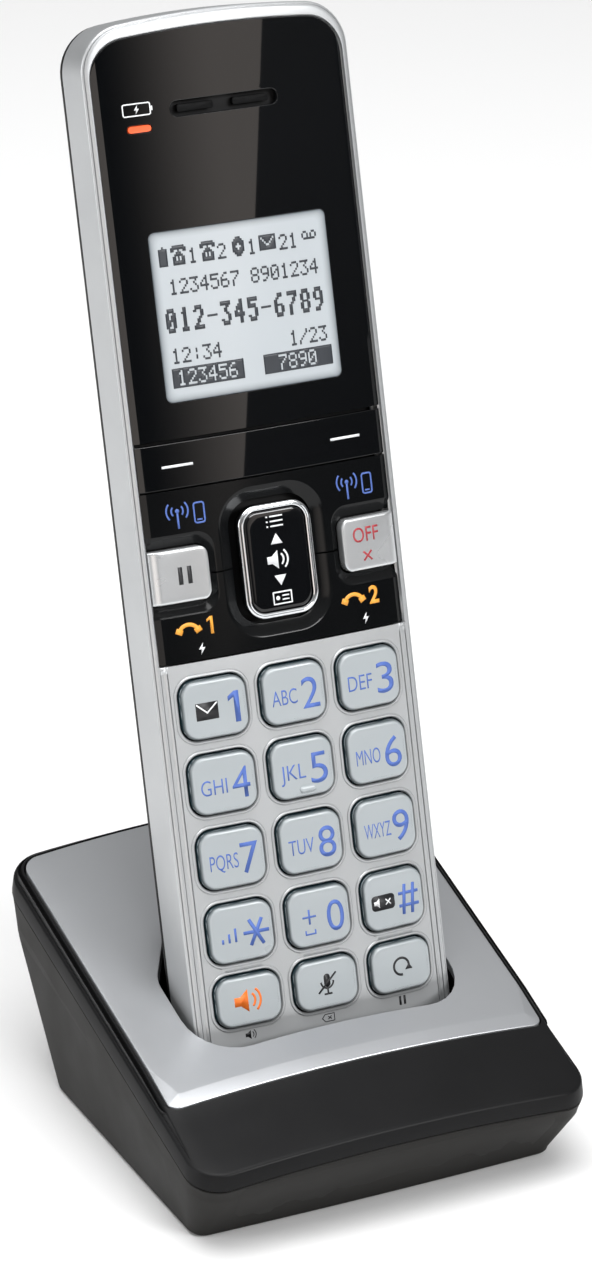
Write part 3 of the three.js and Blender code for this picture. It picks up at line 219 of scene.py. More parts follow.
# Black acoustic cloth behind the ear slot
EAR_CLOTH = Finish("acoustic_cloth_black", "#08090a", "#060607", 0.0, 0.6, 0.05, specular=0.15, cloud_mm=2,
                   grain_mm=0.3, grain_depth_mm=0.02)
AMBER_LAMP = Finish("amber_light_pipe", "#dc4f20", "#e25a26", 0.0, 0.25, 0.02, glow=0.3, grain_depth_mm=0.0)
RUBBER = Finish("silicone_rubber_black", "#1b1b1c", "#212122", 0.0, 0.85, 0.05)
BOARD = Finish("fr4_solder_mask_green", "#1c5233", "#235f3c", 0.0, 0.45, 0.05, cloud_mm=3)
GOLD = Finish("gold_plated_contact", "#cfae66", "#c4a25a", 1.0, 0.25, 0.05, grain_depth_mm=0.0)
STEEL = Finish("zinc_plated_steel", "#8f9294", "#868a8d", 1.0, 0.35, 0.06, grain_mm=0.3)
WRAP = Finish("shrink_wrap_blue", "#35689a", "#3d73a4", 0.0, 0.35, 0.04, grain_depth_mm=0.002)
DIFFUSER = Finish("acrylic_light_guide", "#e8eae5", "#dfe2dd", 0.0, 0.6, 0.05)
# Floor of the studio
PAPER = Finish("studio_paper", "#f4f4f4", "#f2f2f2", 0.0, 0.8, 0.02, cloud_mm=400, grain_depth_mm=0.0)


def ink(name: str, colour: str, shade: str, roughness: float = 0.45) -> Finish:
    """A matt screen-printing ink."""
    return Finish(name, colour, shade, 0.0, roughness, 0.03, cloud_mm=4, grain_depth_mm=0.0)


class Ink(Enum):
    """Inks of the marks, and the display's dots."""

    BLUE = ink("key_ink_blue", "#4a66ae", "#506cb4", 0.6)
    WHITE = ink("printed_ink_white", "#eef0f1", "#e6e8ea")
    BLACK = ink("printed_ink_black", "#131416", "#1a1b1e")
    AMBER = ink("printed_ink_amber", "#f0a63c", "#ee9f31")
    ORANGE = ink("printed_ink_orange", "#f07a28", "#ea7122")
    RED = ink("printed_ink_red", "#a8323a", "#a02c34")
    LCD = Finish("lcd_pixels_dark", "#22262c", "#2a2f36", 0.0, 0.35, 0.02, cloud_mm=3, grain_depth_mm=0.0)


# ---------------------------------------------------------------- frames and outlines

LEAN = math.radians(15.7)
# The handset's toe in the row frame, and how far the cradle's origin lies behind the row's
TOE_Y = -21.0008
TOE_Z = 16.1
PLAN_SHIFT = 1.2992
# Chords of a rounded box's corner and side, and of a key cell's side, which holds one of each
CORNER_CHORDS = 8
SIDE_CHORDS = 4
CELL_CHORDS = CORNER_CHORDS + SIDE_CHORDS


def leaned(points: np.ndarray) -> np.ndarray:
    """Row millimetres of points in the handset's own frame.

    The handset's x runs to the right, y into its depth and z up its length, and the row frame leans it
    back by LEAN about its toe.

    Args:
        points: Millimetres along the handset.

    Returns:
        Millimetres in the row frame.
    """
    x, y, z = points[..., 0], points[..., 1], points[..., 2]
    return np.stack([x, TOE_Y + y * math.cos(LEAN) + z * math.sin(LEAN),
                     TOE_Z - y * math.sin(LEAN) + z * math.cos(LEAN)], -1)


def along_handset(points: np.ndarray) -> np.ndarray:
    """Row metres of points in the handset's frame."""
    return leaned(points) * MM


def in_plan(points: np.ndarray) -> np.ndarray:
    """Row metres of points in the cradle's frame."""
    return (points + [0.0, PLAN_SHIFT, 0.0]) * MM


def walk(stops: Sequence[tuple[float, float, float]], arc: int, spans: Sequence[int]) -> np.ndarray:
    """Points of a path through stops with filleted corners.

    A stop's fillet of radius r touches both of its sides at r * tan(turn / 2) from the stop. Every
    fillet has the same count of chords, so paths with other insets match point by point.

    Args:
        stops: Each stop's two coordinates and its fillet radius, zero for none.
        arc: Chords of a fillet.
        spans: Chords of each straight.

    Returns:
        The points, an array of n by 2.
    """
    at = np.array([stop[:2] for stop in stops], float)
    ends = []
    for i, (_, _, radius) in enumerate(stops):
        if radius <= 0:
            ends.append(at[i][None])
            continue
        before = (at[i] - at[i - 1]) / np.linalg.norm(at[i] - at[i - 1])
        after = (at[i + 1] - at[i]) / np.linalg.norm(at[i + 1] - at[i])
        turn = math.atan2(before[0] * after[1] - before[1] * after[0], before @ after)
        start = at[i] - before * radius * math.tan(abs(turn) / 2)
        centre = start + np.array([-before[1], before[0]]) * math.copysign(radius, turn)
        angle = turn * np.linspace(0, 1, arc + 1)
        arm = start - centre
        ends.append(centre + np.stack([arm[0] * np.cos(angle) - arm[1] * np.sin(angle),
                                       arm[0] * np.sin(angle) + arm[1] * np.cos(angle)], -1))
    path = [ends[0]]
    for i, count in enumerate(spans):
        share = np.linspace(0, 1, count + 1)[1:, None]
        path.append(ends[i][-1] * (1 - share) + ends[i + 1][0] * share)
        path.append(ends[i + 1][1:])
    return np.concatenate(path)


def mirrored(half: np.ndarray) -> np.ndarray:
    """Closed outline from the half of it that starts and ends on x = 0."""
    return np.concatenate([half, half[-2:0:-1] * [-1, 1]])


def rounded_box(size: tuple[float, float], radius: float, centre: tuple[float, float] = (0, 0), grow: float = 0.0,
                arc: int = CORNER_CHORDS, side: int = SIDE_CHORDS) -> np.ndarray:
    """Closed rounded rectangle that starts at the middle of its foot and runs to the right.

    Args:
        size: Width and height.
        radius: Corner radius.
        centre: Middle of the rectangle.
        grow: How far the whole is drawn out, its corner radius with it.
        arc: Chords of a corner.
        side: Chords of a side, an even number.

    Returns:
        An array of 4 * (arc + side) by 2.
    """
    half_w, half_h = size[0] / 2 + grow, size[1] / 2 + grow
    radius = min(radius + grow, half_w * 0.999, half_h * 0.999)
    half = walk([(0, -half_h, 0), (half_w, -half_h, radius), (half_w, half_h, radius), (0, half_h, 0)], arc,
                [side // 2, side, side // 2])
    return mirrored(half) + centre


def box_stations(x0: float, x1: float, z0: float, z1: float, side: int) -> np.ndarray:
    """Closed rectangle with evenly spaced points that starts at the middle of its foot.

    Args:
        x0, x1: Its sides.
        z0, z1: Its foot and top.
        side: Chords of a side.

    Returns:
        An array of 4 * side by 2.
    """
    middle = (x0 + x1) / 2
    path = walk([(middle, z0, 0), (x1, z0, 0), (x1, z1, 0), (x0, z1, 0), (x0, z0, 0), (middle, z0, 0)], 1,
                [side // 2, side, side, side, side // 2])
    return path[:-1]


def lift(outline: np.ndarray, depth: float | Depth, drop: float = 0.0) -> np.ndarray:
    """Puts a face outline at its depth.

    Args:
        outline: Points in x and z.
        depth: Their depth y, a number or a function of x and z.
        drop: How far behind that depth they lie.

    Returns:
        Points in x, y and z.
    """
    x, z = outline[..., 0], outline[..., 1]
    y = depth(x, z) if callable(depth) else np.full_like(x, depth)
    return np.stack([x, y + drop, z], -1)


def raise_plan(outline: np.ndarray, height: float | Depth, rise: float = 0.0) -> np.ndarray:
    """Puts a plan outline at its height.

    Args:
        outline: Points in x and y.
        height: Their height z, a number or a function of x and y.
        rise: How far over that height they lie.

    Returns:
        Points in x, y and z.
    """
    x, y = outline[..., 0], outline[..., 1]
    z = height(x, y) if callable(height) else np.full_like(x, height)
    return np.stack([x, y, z + rise], -1)


def rings_of(outline: Callable[[float], np.ndarray], steps: Sequence[Sequence[float]],
             surface: float | Depth = 0.0) -> np.ndarray:
    """Rings of a face outline, one for each step.

    Args:
        outline: Gives the outline drawn in or out by an amount.
        steps: The amount and the drop behind the surface of each ring.
        surface: Depth that the drops count from.

    Returns:
        An array of steps by points by 3.
    """
    return np.stack([lift(outline(step[0]), surface, step[1]) for step in steps])


def between(first: np.ndarray, last: np.ndarray, shares: Sequence[float] | np.ndarray) -> np.ndarray:
    """Lines part of the way from one line to another of as many points, one for each share of the way."""
    share = np.asarray(shares, float)[:, None, None]
    return first * (1 - share) + last * share


def shifted(path: np.ndarray, by: np.ndarray) -> np.ndarray:
    """Path with its second coordinate moved by an amount at each point."""
    return path + np.stack([np.zeros_like(by), by], -1)


def level_line(x: np.ndarray, z: float) -> np.ndarray:
    """Points at every x and one z."""
    return np.stack([x, np.full_like(x, z)], -1)


# ---------------------------------------------------------------- sheets of faces


@dataclass(frozen=True)
class Hole:
    """A rounded opening in a face sheet: a lip on the sheet's surface and a wall behind it."""

    centre: tuple[float, float]
    size: tuple[float, float]
    radius: float
    surface: Depth
    depth: float
    lip: float = 0.1
    margin: float = 0.3

    def outline(self, grow: float) -> np.ndarray:
        """Outline of the opening drawn out by an amount."""
        return rounded_box(self.size, self.radius, self.centre, grow)

    def around(self, edge: np.ndarray, grow: float) -> np.ndarray:
        """Outline with one point for each edge point, at the same angle once both are scaled to a square.

        Args:
            edge: Points in space round the hole.
            grow: How far the outline is drawn out.

        Returns:
            As many points in x and z as the edge has.
        """
        size = np.array(self.size) + 2 * grow
        dense = rounded_box(self.size, self.radius, (0, 0), grow, 24, 24)
        turn = np.arctan2(dense[:, 1] / size[1], dense[:, 0] / size[0])
        mine = edge[:, [0, 2]] - self.centre
        reach = np.abs(mine).max(0)
        want = np.arctan2(mine[:, 1] / reach[1], mine[:, 0] / reach[0])
        return np.stack([np.interp(want, turn, dense[:, k], period=2 * math.pi) for k in (0, 1)], -1) + self.centre

    def rings(self, edge: np.ndarray) -> np.ndarray:
        """Rings from the lip into the hole."""
        steps = ((self.lip, 0.0), (self.lip * 0.3, self.lip * 0.3), (0.0, self.lip), (0.0, self.depth))
        return rings_of(lambda grow: self.around(edge, grow), steps, self.surface)


class Sheet:
    """Collects patches of faces in one frame and makes them one object."""

    def __init__(self, place: Callable[[np.ndarray], np.ndarray] = along_handset) -> None:
        """Starts an empty sheet.

        Args:
            place: Turns its points to row metres.
        """
        self.place = place
        self.points: list[np.ndarray] = []
        self.faces: list[list[int]] = []
        self.tones: list[int] = []
        self.edges: list[np.ndarray] = []
        self.count = 0

    def _take(self, points: np.ndarray, edge: Sequence[float] = (1.0,)) -> np.ndarray:
        """Stores points, with an edge value for each row, and returns their numbers in the grid's shape.

        Args:
            points: Rows by stations by 3.
            edge: Edge value of each row.

        Returns:
            The points' numbers.
        """
        numbers = self.count + np.arange(points.shape[0] * points.shape[1]).reshape(points.shape[:2])
        self.points.append(points.reshape(-1, 3))
        self.edges.append(np.broadcast_to(np.array(edge)[:, None], points.shape[:2]).reshape(-1))
        self.count += numbers.size
        return numbers

    def _join(self, faces: list[list[int]], tone: int) -> "Sheet":
        """Stores faces of one material."""
        self.faces.extend(faces)
        self.tones.extend([tone] * len(faces))
        return self

    def rows(self, points: np.ndarray, closed: bool = False, tone: int = 0,
             edge: Sequence[float] = (1.0,)) -> "Sheet":
        """Adds quads between the rows of a grid.

        Args:
            points: Grid of rows by stations by 3.
            closed: Whether each row's last point joins its first.
            tone: Number of the material.
            edge: Edge value of each row.

        Returns:
            The sheet itself.
        """
        at = self._take(points, edge)
        low, high = at[:-1], at[1:]
        if closed:
            quads = [low, np.roll(low, -1, 1), np.roll(high, -1, 1), high]
        else:
            quads = [low[:, :-1], low[:, 1:], high[:, 1:], high[:, :-1]]
        return self._join(np.stack(quads, -1).reshape(-1, 4).tolist(), tone)

    def pierced(self, grid: np.ndarray, holes: Sequence[Hole]) -> "Sheet":
        """Adds a grid less a block of faces for each hole, and a collar from each block to its hole.

        Args:
            grid: Grid of rows by columns by 3.
            holes: The holes to leave.

        Returns:
            The sheet itself.
        """
        at = self._take(grid)
        quads = np.stack([at[:-1, :-1], at[:-1, 1:], at[1:, 1:], at[1:, :-1]], -1)
        keep = np.ones(quads.shape[:2], bool)
        for hole in holes:
            reach = np.array(hole.size) / 2 + hole.margin
            rows, columns = np.nonzero((np.abs(grid[..., [0, 2]] - hole.centre) < reach).all(-1))
            r0, r1, c0, c1 = rows.min() - 1, rows.max() + 1, columns.min() - 1, columns.max() + 1
            keep[r0:r1, c0:c1] = False
            edge = np.concatenate([grid[r0, c0:c1], grid[r0:r1, c1], grid[r1, c1:c0:-1], grid[r1:r0:-1, c0]])
            self.rows(np.concatenate([edge[None], hole.rings(edge)]), closed=True)
        return self._join(quads[keep].tolist(), 0)

    def mesh(self, points: np.ndarray, faces: Sequence[Sequence[int]], tone: int = 0) -> "Sheet":
        """Adds points and faces as they are."""
        start = self.count
        self._take(points[None])
        return self._join([[start + corner for corner in face] for face in faces], tone)

    def lid(self, ring: np.ndarray, tone: int = 0) -> "Sheet":
        """Closes a ring with one flat face."""
        return self._join([self._take(ring[None])[0].tolist()], tone)

    def capped(self, rings: np.ndarray) -> "Sheet":
        """Adds closed rings with a lid at each end."""
        return self.rows(rings, closed=True).lid(rings[-1]).lid(rings[0])

    def crowned_lid(self, outline: np.ndarray, surface: float | Depth, drop: float = 0.0,
                    steps: Sequence[float] = (0.85, 0.65, 0.45, 0.25, 0.08),
                    edge: Sequence[float] = (1.0,)) -> "Sheet":
        """Closes a face outline with rings that shrink to its middle and a small lid.

        Args:
            outline: Closed outline of n by 2.
            surface: Depth of the rings.
            drop: How far they lie behind it.
            steps: Share of the outline's size at each ring.
            edge: Edge value of the outline and of each ring.

        Returns:
            The sheet itself.
        """
        middle = (outline.max(0) + outline.min(0)) / 2
        rings = rings_of(lambda share: middle + (outline - middle) * share,
                         [(share, drop) for share in (1.0, *steps)], surface)
        return self.rows(rings, closed=True, edge=edge).lid(rings[-1])

    def build(self, name: str, finishes: Sequence[Finish], facing: Sequence[float] | None = None,
              sharp: float = 30.0, flat: bool = False) -> bpy.types.Object:
        """Makes the object with its doubles merged and its faces pointing out.

        Args:
            name: The piece's name.
            finishes: Materials by tone.
            facing: For an open sheet, a row direction that most of its faces look to.
            sharp: Edges that turn by more than this many degrees stay sharp.
            flat: Whether the sheet is loose marks, each face of which looks the given way.

        Returns:
            The object, with its place in its mesh.
        """
        mesh = bpy.data.meshes.new(name)
        mesh.from_pydata(self.place(np.concatenate(self.points)).tolist(), [], self.faces)
        for finish in finishes:
            mesh.materials.append(finish.build())
        mesh.polygons.foreach_set("material_index", self.tones)
        mesh.attributes.new("edge", "FLOAT", "POINT").data.foreach_set("value", np.concatenate(self.edges))
        work = bmesh.new()
        work.from_mesh(mesh)
        bmesh.ops.remove_doubles(work, verts=work.verts, dist=0.002 * MM)
        bmesh.ops.dissolve_degenerate(work, edges=work.edges, dist=0.001 * MM)
        bmesh.ops.recalc_face_normals(work, faces=work.faces)
        if flat:
            wrong = [face for face in work.faces if face.normal.dot(Vector(facing)) < 0]
            bmesh.ops.reverse_faces(work, faces=wrong)
        elif facing is not None:
            total = sum((face.normal * face.calc_area() for face in work.faces), Vector())
            if total.dot(Vector(facing)) < 0:
                bmesh.ops.reverse_faces(work, faces=work.faces)
        work.to_mesh(mesh)
        work.free()
        mesh.polygons.foreach_set("use_smooth", [True] * len(mesh.polygons))
        mesh.set_sharp_from_angle(angle=math.radians(sharp))
        piece = bpy.data.objects.new(name, mesh)
        bpy.context.scene.collection.objects.link(piece)
        return piece


def thicken(piece: bpy.types.Object, thickness_mm: float) -> None:
    """Gives an open sheet a wall of a thickness on its inner side."""
    wall = piece.modifiers.new("wall", "SOLIDIFY")
    wall.thickness = thickness_mm * MM
    wall.offset = -1


def soften(piece: bpy.types.Object, width_mm: float, angle: float = 30.0, segments: int = 2) -> None:
    """Rounds the edges that turn by more than an angle.

    Args:
        piece: The piece.
        width_mm: Width of the rounding.
        angle: The angle in degrees.
        segments: Its segments.
    """
    edge = piece.modifiers.new("edges", "BEVEL")
    edge.width = width_mm * MM
    edge.segments = segments
    edge.limit_method = "ANGLE"
    edge.angle_limit = math.radians(angle)
    edge.harden_normals = True
    edge.use_clamp_overlap = True


def settle(piece: bpy.types.Object, body: str, replaces: Sequence[str] = ()) -> bpy.types.Object:
    """Hides the nodes that a piece stands for, rides the piece on its body, and logs it.

    Args:
        piece: The piece.
        body: Its body.
        replaces: CAD nodes that it replaces.

    Returns:
        The piece.
    """
    if replaces:
        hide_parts(*replaces)
    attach(piece, body)
    log.info("%s rides on %s", piece.name, body)
    return piece


# ---------------------------------------------------------------- printed marks


def arc(centre: tuple[float, float], radius: float, start: float, stop: float, count: int = 16) -> np.ndarray:
    """Points of a circular arc between two angles in degrees."""
    angle = np.radians(np.linspace(start, stop, count))
    return np.stack([centre[0] + radius * np.cos(angle), centre[1] + radius * np.sin(angle)], -1)


def text_mesh(words: str, weight: float) -> tuple[np.ndarray, list[list[int]]]:
    """Points and faces of a line of characters, at the font's own size, with their outlines drawn out by weight.

    Args:
        words: The characters.
        weight: How far the outlines are drawn out.

    Returns:
        The points, an array of n by 2, and the faces.
    """
    curve = bpy.data.curves.new("lettering", "FONT")
    curve.body = words
    curve.offset = weight
    curve.resolution_u = 5
    item = bpy.data.objects.new("lettering", curve)
    mesh = bpy.data.meshes.new_from_object(item)
    flat = np.zeros(len(mesh.vertices) * 3)
    mesh.vertices.foreach_get("co", flat)
    faces = [list(face.vertices) for face in mesh.polygons]
    bpy.data.objects.remove(item)
    bpy.data.curves.remove(curve)
    bpy.data.meshes.remove(mesh)
    return flat.reshape(-1, 3)[:, :2], faces


def lettering(words: str, weight: float) -> tuple[np.ndarray, list[list[int]]]:
    """Flat mesh of a line of characters, one unit high from its baseline and starting at x = 0.

    Args:
        words: The characters.
        weight: How far their outlines are drawn out, as a share of the font's size.

    Returns:
        The points, an array of n by 2, and the faces.
    """
    points, faces = text_mesh(words, weight)
    points[:, 0] -= points[:, 0].min()
    return points / text_mesh("H", weight)[0][:, 1].max(), faces


@dataclass(frozen=True, eq=False)
class Stroke:
    """Part of a sign, in units of the sign: a line, or a filled outline where it has no width."""

    path: Points
    width: float = 0.0
    rise: float = 0.0
    closed: bool = False
    pale: bool = False


SPEAKER_BOX = Stroke([(-1.3, -0.4), (-0.75, -0.4), (-0.05, -1.0), (-0.05, 1.0), (-0.75, 0.4), (-1.3, 0.4)])
FLASH = np.array([(0.25, 1), (-0.6, -0.12), (-0.08, -0.12), (-0.25, -1), (0.6, 0.2), (0.08, 0.2)])


class Sign(Enum):
    """Plain signs: two bars, a cross, a loudspeaker without and with sound, a microphone that is crossed
    out, an arrow that turns round, an envelope, an aerial with waves, a small telephone, a receiver, a
    flash, a battery with a flash in it, a card, a list, and a tag with a cross in it.
    """

    BARS = tuple(Stroke([(x - 0.26, -1), (x + 0.26, -1), (x + 0.26, 1), (x - 0.26, 1)]) for x in (-0.55, 0.55))
    CROSS = (Stroke([(-0.8, -0.8), (0.8, 0.8)], 0.34), Stroke([(-0.8, 0.8), (0.8, -0.8)], 0.34, 0.005))
    SPEAKER = (SPEAKER_BOX,)
    LOUD_SPEAKER = (SPEAKER_BOX, *(Stroke(arc((-0.15, 0), radius, -48, 48, 11), 0.2) for radius in (0.75, 1.25)))
    MUTED_MICROPHONE = (
        Stroke(rounded_box((0.62, 1.25), 0.3, (0, 0.3), arc=5)), Stroke(arc((0, 0.2), 0.62, 180, 360, 13), 0.17),
        Stroke([(0, -0.4), (0, -0.95)], 0.17), Stroke([(-0.4, -0.95), (0.4, -0.95)], 0.17),
        Stroke([(-0.95, -0.8), (0.95, 0.95)], 0.17, 0.01))
    AGAIN = (Stroke(arc((0, 0), 0.85, -25, 275, 25), 0.24),
             Stroke([(0.38, -0.42), (1.22, -0.42), (0.84, 0.18)], rise=0.01))
    ENVELOPE = (Stroke([(-1.35, -1), (1.35, -1), (1.35, 1), (-1.35, 1)]),
                Stroke([(-1.25, 0.88), (0, -0.2), (1.25, 0.88)], 0.17, 0.02, pale=True))
    WAVES = (*(Stroke(arc((0, 0.35), radius, turn - 42, turn + 42, 9), 0.12)
               for turn in (0, 180) for radius in (0.42, 0.78)),
             Stroke(arc((0, 0.35), 0.15, 0, 337.5, 16)), Stroke([(0, 0.2), (0, -0.85)], 0.14))
    MOBILE = (Stroke(rounded_box((0.95, 1.8), 0.2, arc=3), 0.15, closed=True),
              Stroke([(-0.25, -0.62), (0.25, -0.62)], 0.14))
    RECEIVER = (Stroke(arc((0, -0.75), 1.05, 28, 152, 15), 0.36),
                *(Stroke([(side * 0.62, -0.42), (side * 1.22, -0.12)], 0.5, 0.005) for side in (-1, 1)))
    BOLT = (Stroke(FLASH),)
    BATTERY = (Stroke(rounded_box((4.6, 1.9), 0.3, arc=3), 0.2, closed=True),
               Stroke([(2.55, -0.35), (2.55, 0.35)], 0.3), Stroke(FLASH * 0.72))
    CARD = (Stroke([(-1.25, -0.75), (1.25, -0.75), (1.25, 0.75), (-1.25, 0.75)], 0.17, closed=True),
            Stroke(arc((-0.65, 0), 0.28, 0, 330, 12)),
            *(Stroke([(-0.05, z), (0.9, z)], 0.17) for z in (-0.25, 0.25)))
    LIST = tuple(Stroke([(x0, z), (x1, z)], 0.2)
                 for z in (-0.65, 0.0, 0.65) for x0, x1 in ((-0.65, 1.2), (-1.2, -0.95)))
    ERASE = (Stroke([(-1.5, 0), (-0.8, 0.8), (1.4, 0.8), (1.4, -0.8), (-0.8, -0.8)], 0.2, closed=True),
             Stroke([(-0.1, -0.35), (0.7, 0.35)], 0.2), Stroke([(-0.1, 0.35), (0.7, -0.35)], 0.2, 0.005))


# Thickness of a printed mark
INK_MM = 0.05


class Print:
    """Collects flat marks drawn in the face's x and z, and lays them on it as one thin layer of ink."""

    def __init__(self, surface: Depth, at: tuple[float, float] = (0.0, 0.0), rise: float = 0.02) -> None:
        """Starts an empty print round a point, which stands proud of a surface by rise.

        Args:
            surface: Depth of the surface.
            at: The point.
            rise: Height of the ink.
        """
        self.surface = surface
        self.at = at
        self.rise = rise
        self.sheet = Sheet()
        self.inks: list[Ink] = []

    def _tone(self, ink: Ink) -> int:
        """Number of an ink among the ones in use."""
        if ink not in self.inks:
            self.inks.append(ink)
        return self.inks.index(ink)

    def _raised(self, points: Points, over: float) -> np.ndarray:
        """Puts points on the surface, or over another mark on it."""
        return lift(np.asarray(points, float) + self.at, self.surface, -self.rise - over)

    def fill(self, outline: Points, ink: Ink, over: float = 0.0) -> "Print":
        """Adds a filled outline."""
        points = self._raised(outline, over)
        self.sheet.mesh(points, [list(range(len(points)))], self._tone(ink))
        return self

    def line(self, path: Points, width: float, ink: Ink, over: float = 0.0, closed: bool = False) -> "Print":
        """Adds a line of even width along a path.

        Each side lies half a width from the path along the mean of the normals of the two chords that meet
        there, drawn out by one over the cosine of half their turn.

        Args:
            path: Points of n by 2.
            width: The line's width.
            ink: Its ink.
            over: Extra height over the surface.
            closed: Whether the path's end joins its start.

        Returns:
            The print itself.
        """
        path = np.asarray(path, float)
        step = np.roll(path, -1, 0) - path
        step /= np.linalg.norm(step, axis=1, keepdims=True) + 1e-12
        after = step if closed else np.concatenate([step[:-1], step[-2:-1]])
        before = np.roll(after, 1, 0)
        if not closed:
            before[0] = after[0]
        mean = before + after
        mean /= np.linalg.norm(mean, axis=1, keepdims=True)
        side = np.stack([-mean[:, 1], mean[:, 0]], -1) / np.clip((mean * before).sum(1, keepdims=True), 0.4, 1)
        band = np.stack([path + side * width / 2, path - side * width / 2])
        self.sheet.rows(self._raised(band, over), closed=closed, tone=self._tone(ink))
        return self

    def text(self, words: str, x0: float, x1: float, base: float, height: float, ink: Ink,
             weight: float = 0.0) -> "Print":
        """Adds a line of characters fitted between x0 and x1 on a baseline.

        Args:
            words: The characters.
            x0, x1: Their ends.
            base: Their baseline.
            height: Height of a capital.
            ink: Their ink.
            weight: How far they are drawn out.

        Returns:
            The print itself.
        """
        points, faces = lettering(words, weight)
        points = points * [(x1 - x0) / points[:, 0].max(), height] + [x0, base]
        self.sheet.mesh(self._raised(points, 0), faces, self._tone(ink))
        return self

    def dots(self, lit: np.ndarray, corner: tuple[float, float], pitch: tuple[float, float], ink: Ink) -> "Print":
        """Adds a quad for each lit dot of a matrix whose first row is at the top.

        Args:
            lit: Rows by columns of truth values.
            corner: Upper left corner of the matrix.
            pitch: Width and height of a dot.
            ink: Its ink.

        Returns:
            The print itself.
        """
        rows, columns = np.nonzero(lit)
        x = corner[0] + (columns[:, None] + np.array([0, 1, 1, 0])) * pitch[0]
        z = corner[1] - (rows[:, None] + np.array([1, 1, 0, 0])) * pitch[1]
        faces = np.arange(x.size).reshape(-1, 4).tolist()
        self.sheet.mesh(self._raised(np.stack([x, z], -1).reshape(-1, 2), 0), faces, self._tone(ink))
        return self

    def sign(self, sign: Sign, at: tuple[float, float], scale: float, ink: Ink, over: float = 0.0) -> "Print":
        """Adds a sign.

        Args:
            sign: Which one.
            at: Its middle.
            scale: Size of its unit.
            ink: Its ink.
            over: Extra height over the surface.

        Returns:
            The print itself.
        """
        for stroke in sign.value:
            path = np.asarray(stroke.path, float) * scale + at
            tint, height = Ink.WHITE if stroke.pale else ink, over + stroke.rise
            if stroke.width > 0:
                self.line(path, stroke.width * scale, tint, height, stroke.closed)
            else:
                self.fill(path, tint, height)
        return self

    def settle(self, name: str, body: str, slot: str) -> None:
        """Makes the print one piece, a thin layer thick, that rides on a body."""
        piece = self.sheet.build(name, [ink.value for ink in self.inks], FRONT_NORMAL, 30, flat=True)
        thicken(piece, INK_MM)
        settle(piece, body)


# ---------------------------------------------------------------- the handset's front

FRONT_NORMAL = tuple(leaned(np.array([0.0, -1, 0])) - leaned(np.zeros(3)))


@dataclass(frozen=True)
class Face:
    """Sizes that the pieces of the handset's front share, in millimetres."""

    length: float = 184.0
    half: float = 24.5
    crown: float = 1.3
    plate_half: float = 23.05
    crease: float = 22.0
    facet: float = 0.4
    plate_top: float = 181.3
    plate_rise: float = 1.4
    plate_corner: float = 6.0
    plate_sink: float = 0.1
    lens_foot: float = 113.4
    soft: tuple[float, float] = (105.1, 112.8)
    cell: tuple[float, float] = (90.05, 104.8)
    line: tuple[float, float] = (75.55, 89.75)
    split_middle: float = 90.4
    recess_foot: float = 75.25
    key_z: tuple[float, ...] = (67.15, 54.05, 40.95, 27.85, 15.85)
    key_lines: tuple[float, ...] = (73.7, 60.6, 47.5, 34.4, 21.85, 9.85)
    key_pitch: float = 14.6

    def crown_at(self, x: np.ndarray, z: np.ndarray | None = None) -> np.ndarray:
        """Depth of the crowned front: crown * (x / half) squared."""
        return self.crown * (x / self.half) ** 2

    def plate_at(self, x: np.ndarray, z: np.ndarray | None = None) -> np.ndarray:
        """Depth of the black plates: the crown, and past the crease a facet that falls evenly."""
        past = np.clip((np.abs(x) - self.crease) / (self.plate_half - self.crease), 0, None)
        return self.crown_at(x) + self.plate_sink + self.facet * past

    def key_size(self, row: int) -> tuple[float, float]:
        """Width and height of a dialling key in a row."""
        return (11.9, 8.9) if row == 4 else (11.9, 10.3)


FACE = Face()

# Bodies of the deck's keys, row by row from the top
KEY_NODES = (("key_1", "key_2", "key_3"), ("key_4", "key_5", "key_6"), ("key_7", "key_8", "key_9"),
             ("key_star", "key_0", "key_pound"), ("key_speaker", "key_mute", "key_redial"))


